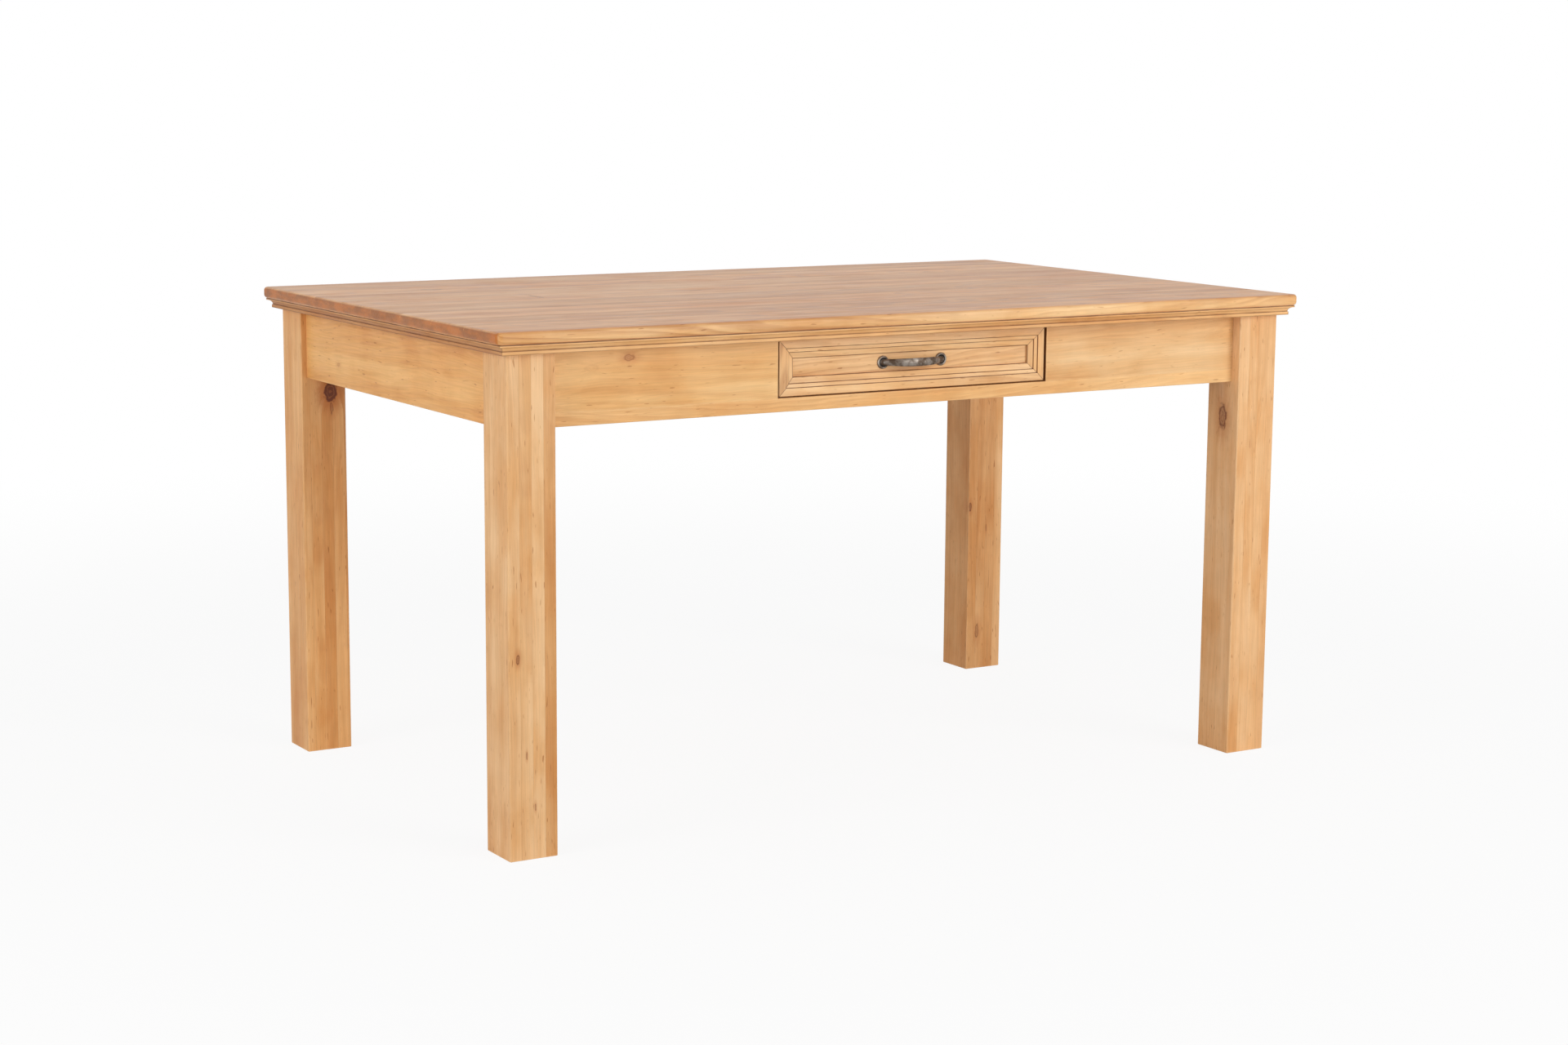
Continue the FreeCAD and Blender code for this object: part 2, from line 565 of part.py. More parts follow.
def handle_bow():
    """The bow: a crescent in plan that swells in width to the middle, with eased edges and two posts."""
    half = HANDLE_SPACING / 2
    post = HANDLE_POST_RADIUS
    outer_reach = HANDLE_REACH + HANDLE_MIDDLE_THICKNESS / 2
    inner_reach = HANDLE_REACH - HANDLE_MIDDLE_THICKNESS / 2
    swell = HANDLE_MIDDLE_WIDTH / 2
    base = ROSETTE_THICKNESS
    plan = profile(X_AXIS, Y_AXIS * -1,
                   (-half - post, base), ((0, outer_reach), (half + post, base)),
                   (half - post, base), ((0, inner_reach), (post - half, base)))
    front = profile(X_AXIS, Z_AXIS,
                    (-half - post, -post), ((0, -swell), (half + post, -post)),
                    (half + post, post), ((0, swell), (-half - post, post)))
    crescent = plan.extrude(Z_AXIS * (2 * swell)).translated(Z_AXIS * -swell)
    grip = crescent.common(front.extrude(Y_AXIS * -outer_reach))
    grip = eased(grip, HANDLE_EDGE_CHAMFER, lambda edge: edge.Length > HANDLE_SPACING / 3)
    feet = [X_AXIS * (side * half) for side in SIDES.values()]
    posts = [rod(post, foot, foot - Y_AXIS * base) for foot in feet]
    return grip.fuse(posts).translated(vec(0, PANEL_FACE, DRAWER_MIDDLE))


def rosette(side):
    """A round rosette with a bevelled raised rim and a dished middle, bored for the bow's post."""
    seat = vec(side * HANDLE_SPACING / 2, PANEL_FACE, DRAWER_MIDDLE)
    shoulder = seat - Y_AXIS * (ROSETTE_THICKNESS - ROSETTE_BEVEL)
    rim = seat - Y_AXIS * ROSETTE_THICKNESS
    dish = rim + Y_AXIS * ROSETTE_DISH
    inside = ROSETTE_RADIUS - ROSETTE_RIM
    disc = rod(ROSETTE_RADIUS, seat, shoulder, ROSETTE_SIDES)
    bevel = taper(shoulder, rim, ROSETTE_RADIUS, ROSETTE_RADIUS - ROSETTE_BEVEL, ROSETTE_SIDES)
    hollow = taper(dish, rim, inside - ROSETTE_BEVEL, inside, ROSETTE_SIDES)
    bore = rod(HANDLE_POST_RADIUS + HOLE_GAP, seat, rim)
    return disc.fuse(bevel).cut([hollow, bore]).removeSplitter()


def handle_screws(grow=0.0):
    """The machine screws from inside the drawer into the bow's posts."""
    screws = []
    for side in SIDES.values():
        seat = vec(side * HANDLE_SPACING / 2, BOX_FRONT, DRAWER_MIDDLE)
        tip = vec(seat.x, PANEL_FACE - HANDLE_SCREW_BITE - grow, seat.z)
        head = rod(HANDLE_SCREW_HEAD_RADIUS, seat, seat + Y_AXIS * HANDLE_SCREW_HEAD_HEIGHT)
        screws.append(head.fuse(rod(HANDLE_SCREW_RADIUS + grow, seat, tip)).removeSplitter())
    return screws


def table_nodes():
    """Every piece of the standing table, keyed by its node name."""
    nodes = {**top_boards(), **top_mouldings(), **aprons(), **drawer_guides()}
    groups = {"leg_bolts": [], "leg_washers": [], "leg_nuts": [], "corner_block_screws": []}
    for name, (side, end) in CORNERS.items():
        joint = corner_joint(side, end)
        nodes[f"leg_{name}"] = leg(side, end).cut(joint["bolt_holes"])
        nodes[f"corner_block_{name}"] = joint["block"]
        groups["leg_bolts"] += joint["bolts"]
        groups["leg_washers"] += joint["washers"]
        groups["leg_nuts"] += joint["nuts"]
        groups["corner_block_screws"] += joint["screws"]
        along = "back_apron" if end == BACK else f"front_panel_{'left' if side == LEFT else 'right'}"
        across = "left_apron" if side == LEFT else "right_apron"
        drill(nodes, (along, across), joint["screw_holes"])

    pieces, heads = battens()
    nodes.update(pieces)
    groups["batten_screws"] = []
    length = BATTEN_SIZE + MOULDING_HEIGHT + BATTEN_SCREW_BITE
    boards = [name for name in nodes if name.startswith(("top_board", "top_moulding"))]
    for name, places in heads.items():
        points = [vec(x, y, BATTEN_BOTTOM) for x, y in places]
        groups["batten_screws"] += [screw(point, Z_AXIS, length) for point in points]
        drill(nodes, [name] + boards, [screw(point, Z_AXIS, length, HOLE_GAP) for point in points])

    groups["guide_dowels"] = guide_dowels()
    groups["runner_screws"] = runner_screws()
    guides = [f"drawer_guide_{name}" for name in SIDES]
    runners = [f"drawer_runner_{name}" for name in SIDES]
    panels = [f"front_panel_{name}" for name in SIDES]
    drill(nodes, guides + panels + ["back_apron"], guide_dowels(HOLE_GAP))
    drill(nodes, guides + runners, runner_screws(HOLE_GAP))
    nodes.update({name: Part.makeCompound(solids) for name, solids in groups.items()})
    return nodes


def drawer_nodes():
    """Every piece of the drawer, keyed by its node name."""
    front = drawer_front()
    nodes = {**front, **drawer_box(front["drawer_panel"])}
    nodes["handle_bow"] = handle_bow()
    nodes["handle_rosette_left"] = rosette(LEFT)
    nodes["handle_rosette_right"] = rosette(RIGHT)
    drill(nodes, ("drawer_panel", "handle_bow"), handle_screws(HOLE_GAP))
    box = ("drawer_panel", "drawer_side_left", "drawer_side_right", "drawer_back")
    drill(nodes, box, drawer_dowels(HOLE_GAP))
    drill(nodes, ("drawer_bottom", "drawer_back"), drawer_bottom_screws(HOLE_GAP))
    nodes["handle_screws"] = Part.makeCompound(handle_screws())
    nodes["drawer_dowels"] = Part.makeCompound(drawer_dowels())
    nodes["drawer_bottom_screws"] = Part.makeCompound(drawer_bottom_screws())
    return nodes


os.makedirs("parts", exist_ok=True)
for node, shape in {**table_nodes(), **drawer_nodes()}.items():
    shape.exportStep(f"parts/{node}.step")
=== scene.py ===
"""A waxed pine farmhouse table with a cornice-moulded top, four square legs and one drawer."""

import functools
import json
import logging
import math
import random
from collections.abc import Callable, Sequence
from dataclasses import dataclass, field
from enum import Enum

import bmesh
import bpy
from bmesh.types import BMEdge, BMesh, BMLayerItem, BMVert
from bpy.types import Node, NodeSocket, NodeTree, Object
from mathutils import Euler, Matrix, Vector

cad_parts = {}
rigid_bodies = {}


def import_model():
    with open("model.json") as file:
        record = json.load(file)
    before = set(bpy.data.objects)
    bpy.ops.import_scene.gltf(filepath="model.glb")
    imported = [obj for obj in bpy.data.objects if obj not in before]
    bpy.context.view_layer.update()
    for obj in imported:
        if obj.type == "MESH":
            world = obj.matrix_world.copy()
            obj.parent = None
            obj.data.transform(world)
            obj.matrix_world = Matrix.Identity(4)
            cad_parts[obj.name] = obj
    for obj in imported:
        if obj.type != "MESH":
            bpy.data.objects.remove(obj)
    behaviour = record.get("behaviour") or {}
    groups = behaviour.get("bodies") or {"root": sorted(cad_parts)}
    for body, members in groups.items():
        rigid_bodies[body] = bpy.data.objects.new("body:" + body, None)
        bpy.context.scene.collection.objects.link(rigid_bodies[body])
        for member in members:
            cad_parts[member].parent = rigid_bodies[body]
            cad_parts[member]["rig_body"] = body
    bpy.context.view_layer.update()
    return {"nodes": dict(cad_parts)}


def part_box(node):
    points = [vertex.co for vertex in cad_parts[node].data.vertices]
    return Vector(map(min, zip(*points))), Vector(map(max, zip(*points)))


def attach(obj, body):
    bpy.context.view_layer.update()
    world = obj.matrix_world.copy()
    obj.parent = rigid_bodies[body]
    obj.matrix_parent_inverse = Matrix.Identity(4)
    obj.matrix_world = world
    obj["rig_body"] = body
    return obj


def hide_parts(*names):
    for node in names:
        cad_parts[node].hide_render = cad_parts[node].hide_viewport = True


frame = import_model()

Colour = tuple[float, float, float]
Place = tuple[float, float, float]
Test = Callable[[BMEdge], bool]

LOG = logging.getLogger("farmhouse_table")
MM = 0.001
TOUCH = 1e-5
SQUARE_ANGLE = 1.2
# The vertex layer of dark lines: old wax in creases and mitres, and painted shade where shadow falls under
# edges.
DIRT_AND_SHADE = "stain"
PLAIN: Colour = (1.0, 1.0, 1.0)
WHITE = (*PLAIN, 1.0)

# The figure of pine: ripples and bends of the log, uneven years, the casts of its patches and flecks,
# and how far apart in the log two glued staves may lie.
RIPPLE_DEPTH = 12 * MM
BEND_RATE = 2.2
BEND_DEPTH = 45 * MM
SEASON_RATE = 45.0
SEASON_PULL = 2.2
AMBER: Colour = (0.9, 0.77, 0.6)
CREAM: Colour = (1.03, 1.08, 1.16)
RESIN: Colour = (0.5, 0.33, 0.19)
STAVE_SHIFT: Place = (3.0, 0.09, 0.09)


def tint(red: int, green: int, blue: int) -> Colour:
    """A display colour from 0 to 255 as the linear colour that the shaders take."""
    shares = [channel / 255 for channel in (red, green, blue)]
    return tuple(s / 12.92 if s <= 0.04045 else ((s + 0.055) / 1.055) ** 2.4 for s in shares)


class Axis(Enum):
    """The way that a piece's grain runs, with the turn that brings it onto X."""

    X = (0.0, 0.0, 0.0)
    Y = (0.0, 0.0, -math.pi / 2)
    Z = (math.pi / 2, 0.0, math.pi / 2)

    @classmethod
    def longest(cls, low: Vector, high: Vector) -> "Axis":
        """The axis along which a box is longest."""
        spans = list(high - low)
        return list(cls)[spans.index(max(spans))]

    @property
    def way(self) -> Vector:
        """The unit direction of the axis."""
        return Vector([float(self.name == letter) for letter in "XYZ"])


class Wire:
    """A value, vector or colour on its way through a shader tree, which takes part in sums."""

    def __init__(self, bench: "Bench", socket: NodeSocket) -> None:
        """Takes the bench of the tree and the socket that the wire comes out of."""
        self.bench = bench
        self.socket = socket

    def __add__(self, other: object) -> "Wire":
        """This and another added up."""
        return self.bench.maths("ADD", self, other)

    def __sub__(self, other: object) -> "Wire":
        """This less another."""
        return self.bench.maths("SUBTRACT", self, other)

    def __rsub__(self, other: object) -> "Wire":
        """Another less this."""
        return self.bench.maths("SUBTRACT", other, self)

    def __mul__(self, other: object) -> "Wire":
        """This times another, part by part."""
        return self.bench.maths("MULTIPLY", self, other)

    def __truediv__(self, other: object) -> "Wire":
        """This divided by another, part by part."""
        return self.bench.maths("DIVIDE", self, other)

    def __abs__(self) -> "Wire":
        """This without its sign."""
        return self.bench.maths("ABSOLUTE", self)

    @property
    def plain(self) -> bool:
        """Whether it carries a single number."""
        return self.socket.type == "VALUE"

    def part(self, letter: str) -> "Wire":
        """One part of a vector, X, Y or Z."""
        return self.bench.wire("ShaderNodeSeparateXYZ", letter, {0: self})

    def ramp(self, low: float, high: float, start: float = 0.0, end: float = 1.0) -> "Wire":
        """A smooth step from start, where this is low, to end, where it is high."""
        inputs = {"Value": self, "From Min": low, "From Max": high, "To Min": start, "To Max": end}
        return self.bench.wire("ShaderNodeMapRange", "Result", inputs, interpolation_type="SMOOTHSTEP")


class Bench:
    """Lays out and links the nodes of one shader tree."""

    def __init__(self, tree: NodeTree) -> None:
        """Takes the tree to work on."""
        self.tree = tree

    def feed(self, target: NodeSocket, value: object) -> None:
        """Gives an input its value, or links it to a wire or to another node's output.

        Args:
            target: the input.
            value: a wire, an output or a plain value.
        """
        source = value.socket if isinstance(value, Wire) else value
        if isinstance(source, NodeSocket):
            self.tree.links.new(source, target)
        else:
            target.default_value = source

    def node(self, kind: str, inputs: dict | None = None, **settings: object) -> Node:
        """Adds a node.

        Args:
            kind: Blender's name for the type of node.
            inputs: what its inputs are fed, keyed by name or number.
            settings: the node's own options.

        Returns:
            The new node.
        """
        made = self.tree.nodes.new(kind)
        for name, value in settings.items():
            setattr(made, name, value)
        for key, value in (inputs or {}).items():
            self.feed(made.inputs[key], value)
        return made

    def wire(self, kind: str, output: int | str = 0, inputs: dict | None = None, **settings: object) -> Wire:
        """One output of a new node."""
        return Wire(self, self.node(kind, inputs, **settings).outputs[output])

    def group(self, tree: NodeTree, inputs: dict) -> dict[str, Wire]:
        """The outputs, by label, of a shared group that is placed with its own values."""
        made = self.node("ShaderNodeGroup", inputs, node_tree=tree)
        return {socket.name: Wire(self, socket) for socket in made.outputs}

    def maths(self, operation: str, *values: object) -> Wire:
        """The result of a Math node, or of a Vector Math node where a vector takes part.

        Args:
            operation: Blender's name for the operation.
            values: the numbers, vectors and wires that it takes.

        Returns:
            The wire of the result.
        """
        inputs = dict(enumerate(values))
        if all(value.plain if isinstance(value, Wire) else isinstance(value, float) for value in values):
            return self.wire("ShaderNodeMath", 0, inputs, operation=operation)
        output = "Value" if operation in ("LENGTH", "DOT_PRODUCT") else "Vector"
        return self.wire("ShaderNodeVectorMath", output, inputs, operation=operation)

    def along(self, value: Wire, axes: str) -> Wire:
        """A vector with one value along the axes named and 0 along the rest."""
        return self.wire("ShaderNodeCombineXYZ", 0, dict.fromkeys(axes, value))

    def noise(self, where: Wire, stretch: Place, detail: float, output: str = "Fac") -> Wire:
        """Soft noise whose cells per metre along each axis are given."""
        inputs = {"Vector": where * stretch, "Scale": 1.0, "Detail": detail}
        return self.wire("ShaderNodeTexNoise", output, inputs)

    def blend(self, amount: object, first: object, second: object, mode: str = "MIX") -> Wire:
        """One colour mixed into another.

        Args:
            amount: how much of the second colour goes in, from 0 to 1.
            first: the first colour, as a wire or as its three parts.
            second: the colour that goes into it.
            mode: Blender's name for the way of mixing.

        Returns:
            The wire of the mixed colour.
        """
        first, second = ((*c, 1.0) if isinstance(c, tuple) else c for c in (first, second))
        inputs = {0: amount, 6: first, 7: second}
        return self.wire("ShaderNodeMix", 2, inputs, data_type="RGBA", blend_type=mode)


class GroupBench(Bench):
    """Lays out a shared shader group with named inputs and outputs."""

    def __init__(self, name: str, inputs: dict[str, str], outputs: dict[str, str]) -> None:
        """Starts the group.

        Args:
            name: the group's name.
            inputs: its input labels with their kinds, such as Float, Vector or Color.
            outputs: its output labels with their kinds.
        """
        super().__init__(bpy.data.node_groups.new(name, "ShaderNodeTree"))
        for way, sockets in (("INPUT", inputs), ("OUTPUT", outputs)):
            for label, kind in sockets.items():
                self.tree.interface.new_socket(label, in_out=way, socket_type=f"NodeSocket{kind}")
        source = self.node("NodeGroupInput").outputs
        self.given = {label: Wire(self, source[label]) for label in inputs}
        self.target = self.node("NodeGroupOutput").inputs

    def put(self, results: dict[str, Wire]) -> NodeTree:
        """Leads the results out of the group.

        Args:
            results: the wires, by the labels of the outputs.

        Returns:
            The finished group.
        """
        for label, result in results.items():
            self.feed(self.target[label], result)
        return self.tree


class WoodNoise(Enum):
    """Noise in wood: its cells per metre along the grain, those across it, and its detail."""

    DRIFT = (0.9, 7.0, 3.0)
    RIPPLE = (6.0, 20.0, 3.0)
    BROAD = (0.9, 16.0, 3.0)
    NARROW = (1.4, 52.0, 2.0)
    FIBRE = (9.0, 480.0, 4.0)
    BLOTCH = (8.0, 15.0, 5.0)
    CURL = (30.0, 12.0, 4.0)
    HAIR = (2.4, 330.0, 2.0)
    FLECK = (60.0, 480.0, 0.0)

    def on(self, where: Wire, output: str = "Fac") -> Wire:
        """The noise at a place in wood whose grain runs along X."""
        along, across, detail = self.value
        return where.bench.noise(where, (along, across, across), detail, output)

    def push(self, where: Wire) -> Wire:
        """The noise as a soft random push either way along each axis."""
        return self.on(where, "Color") - (0.5, 0.5, 0.5)


@functools.cache
def pine_figure() -> NodeTree:
    """Growth rings, streaks, fibres and resin flecks of pine whose grain runs along X.

    Returns:
        The shared group, which gives a colour, a roughness and a relief.
    """
    floats = ("Ring Spacing", "Wander", "Streak", "Contrast", "Mottle", "Fleck", "Gloss")
    bench = GroupBench(
        "pine_figure",
        {"Position": "Vector", **dict.fromkeys(("Pale", "Warm", "Late"), "Color"),
         **dict.fromkeys(floats, "Float")},
        {"Color": "Color", "Roughness": "Float", "Height": "Float"})
    given = bench.given
    here = given["Position"]

    # The rings wander along the log and ripple a little, and the log itself bends in slow waves.
    drift = WoodNoise.DRIFT.push(here) * bench.along(given["Wander"], "YZ")
    ripple = WoodNoise.RIPPLE.push(here) * (0.0, RIPPLE_DEPTH, RIPPLE_DEPTH)
    waved = here + (drift + ripple)
    bend = bench.maths("SINE", here.part("X") * BEND_RATE) * BEND_DEPTH
    radius = bench.maths("LENGTH", (waved + bench.along(bend, "Z")) * (0.0, 1.0, 1.0))
    seasons = bench.wire("ShaderNodeTexNoise", "Fac", {"W": radius * SEASON_RATE, "Scale": 1.0},
                         noise_dimensions="1D")
    within = bench.maths("FRACT", radius / given["Ring Spacing"] + seasons * SEASON_PULL)
    late = within.ramp(0.2, 0.8) * within.ramp(0.82, 1.0, 1.0, 0.0)

    broad = WoodNoise.BROAD.on(here)
    fibre = WoodNoise.FIBRE.on(waved)
    blotch = WoodNoise.BLOTCH.on(waved)
    hair = WoodNoise.HAIR.on(waved).ramp(0.66, 0.76) * broad.ramp(0.42, 0.6)
    fleck = WoodNoise.FLECK.on(waved).ramp(0.75, 0.85)

    tone = broad * 0.62 + WoodNoise.NARROW.on(waved) * 0.38
    streak = bench.maths("MULTIPLY_ADD", tone - 0.5, given["Streak"], 0.5)
    colour = bench.blend(streak.ramp(0.0, 1.0), given["Pale"], given["Warm"])
    ring_share = late * given["Contrast"] * broad.ramp(0.38, 0.6, 0.3, 1.0)
    colour = bench.blend(ring_share, colour, given["Late"])
    amber, cream = (blotch.ramp(*steps) * given["Mottle"] for steps in ((0.44, 0.7), (0.52, 0.32)))
    colour = bench.blend(amber, colour, AMBER, "MULTIPLY")
    colour = bench.blend(cream, colour, CREAM, "MULTIPLY")
    grain = fibre.ramp(0.3, 0.7, 0.94, 1.05) * WoodNoise.CURL.on(here).ramp(0.3, 0.7, 0.98, 1.02)
    colour = bench.blend(1.0, colour, bench.along(grain, "XYZ"), "MULTIPLY")
    specks = bench.maths("MAXIMUM", fleck, hair * 0.45) * given["Fleck"]
    colour = bench.blend(specks, colour, RESIN, "MULTIPLY")
    rough = given["Gloss"] + fibre.ramp(0.3, 0.7, 0.06, -0.06) - late * 0.05
    relief = fibre * 0.6 + late * 0.35 - fleck * 0.5
    return bench.put({"Color": colour, "Roughness": rough, "Height": relief})


@functools.cache
def pine_knot() -> NodeTree:
    """A knot with a dark core and a brown halo, round which the grain is pushed aside.

    Returns:
        The shared group, which gives the place pushed aside and the masks of the core and the halo.
    """
    bench = GroupBench("pine_knot", dict.fromkeys(("Position", "Centre", "Size"), "Vector"),
                       {"Position": "Vector", "Core": "Float", "Halo": "Float"})
    here, centre, size = bench.given.values()
    away = (here - centre) / size
    ragged = (bench.noise(here, (160.0,) * 3, 3.0) - 0.5) * 0.9
    far = bench.maths("LENGTH", away) + ragged
    halo = far.ramp(3.0, 0.8)
    years = bench.maths("SINE", far * 15.0) * 0.16
    rim = far.ramp(0.5, 0.85) * 0.3
    core = far.ramp(1.15, 0.8) * (rim + (0.62 - years))
    push = bench.maths("NORMALIZE", away) * size
    moved = here + push * bench.along(halo * 0.8, "XYZ")
    return bench.put({"Position": moved, "Core": core, "Halo": halo})


@functools.cache
def glued_staves() -> NodeTree:
    """Staves glued side by side across Y, each with a figure and a tone of its own.

    Returns:
        The shared group, which gives the place in a stave's own log, its tone and the seams.
    """
    bench = GroupBench("glued_staves", {"Position": "Vector", "Width": "Float"},
                       {"Position": "Vector", "Tone": "Float", "Seam": "Float"})
    here, width = bench.given.values()
    lane = here.part("Y") / width
    stave = {"W": bench.maths("FLOOR", lane)}
    tone, figure = (bench.wire("ShaderNodeTexWhiteNoise", output, stave, noise_dimensions="1D")
                    for output in ("Value", "Color"))
    near = abs(bench.maths("FRACT", lane) - 0.5)
    moved = here + figure * STAVE_SHIFT
    return bench.put({"Position": moved, "Tone": tone, "Seam": near.ramp(0.484, 0.5)})


@functools.cache
def edge_wear() -> NodeTree:
    """A broken mask along the edges of a block, from its middle and its half sizes.

    Returns:
        The shared group, which gives the mask.
    """
    bench = GroupBench(
        "edge_wear", {"Position": "Vector", "Middle": "Vector", "Half": "Vector", "Reach": "Float"},
        {"Mask": "Float"})
    here, middle, half, reach = bench.given.values()
    depth = half - abs(here - middle)
    across, deep, up = (depth.part(letter) for letter in "XYZ")
    first = bench.maths("MINIMUM", across, deep)
    second = bench.maths("MAXIMUM", across, deep)
    nearest = bench.maths("MAXIMUM", first, bench.maths("MINIMUM", second, up))
    broken = bench.noise(here, (38.0,) * 3, 3.0).ramp(0.35, 0.65, 0.35, 1.0)
    return bench.put({"Mask": (1.0 - nearest / reach).ramp(0.0, 1.0) * broken})


@functools.cache
def metal_patina() -> NodeTree:
    """Blotches of tarnish and a fine pitted relief.

    Returns:
        The shared group, which gives both.
    """
    bench = GroupBench("metal_patina", {"Position": "Vector", "Scale": "Float"},
                       {"Tarnish": "Float", "Pits": "Float"})
    here = bench.given["Position"] * bench.along(bench.given["Scale"], "XYZ")
    tarnish = bench.noise(here, (1.0,) * 3, 5.0).ramp(0.36, 0.66)
    return bench.put({"Tarnish": tarnish, "Pits": bench.noise(here, (9.0,) * 3, 4.0)})


def new_skin(piece: Object, name: str) -> tuple[Bench, Node]:
    """Gives a piece a material of its own.

    Args:
        piece: the piece to cover.
        name: the material's name.

    Returns:
        The bench of the material and its Principled shader.
    """
    material = bpy.data.materials.new(name)
    material.use_nodes = True
    piece.data.materials.clear()
    piece.data.materials.append(material)
    return Bench(material.node_tree), material.node_tree.nodes["Principled BSDF"]


def limits(corners: Sequence[Vector]) -> tuple[Vector, Vector]:
    """The lowest and the highest corner of the box that holds some points."""
    parts = list(zip(*corners))
    return Vector([min(part) for part in parts]), Vector([max(part) for part in parts])


@dataclass(frozen=True)
class Knot:
    """A knot or mark in the wood: its middle, its half sizes and its strength, where 1 is full colour."""

    centre: Place
    size: Place
    dark: float = 0.7


@dataclass(frozen=True)
class Finish:
    """A finish that is made afresh for each piece, with the strength and the depth of its relief."""

    name: str
    relief: float = field(default=0.18, kw_only=True)
    relief_depth: float = field(default=0.4 * MM, kw_only=True)

    def join(self, bench: Bench, shader: Node, colour: Wire, rough: Wire, height: Wire) -> None:
        """Leads a colour, a roughness and a relief into a shader.

        Args:
            bench: the material's bench.
            shader: its Principled shader.
            colour: the colour of the surface.
            rough: its roughness.
            height: the height of its relief.
        """
        bump = bench.wire("ShaderNodeBump", "Normal", {
            "Strength": self.relief, "Distance": self.relief_depth, "Height": height})
        for label, wire in (("Base Color", colour), ("Roughness", rough), ("Normal", bump)):
            bench.feed(shader.inputs[label], wire)


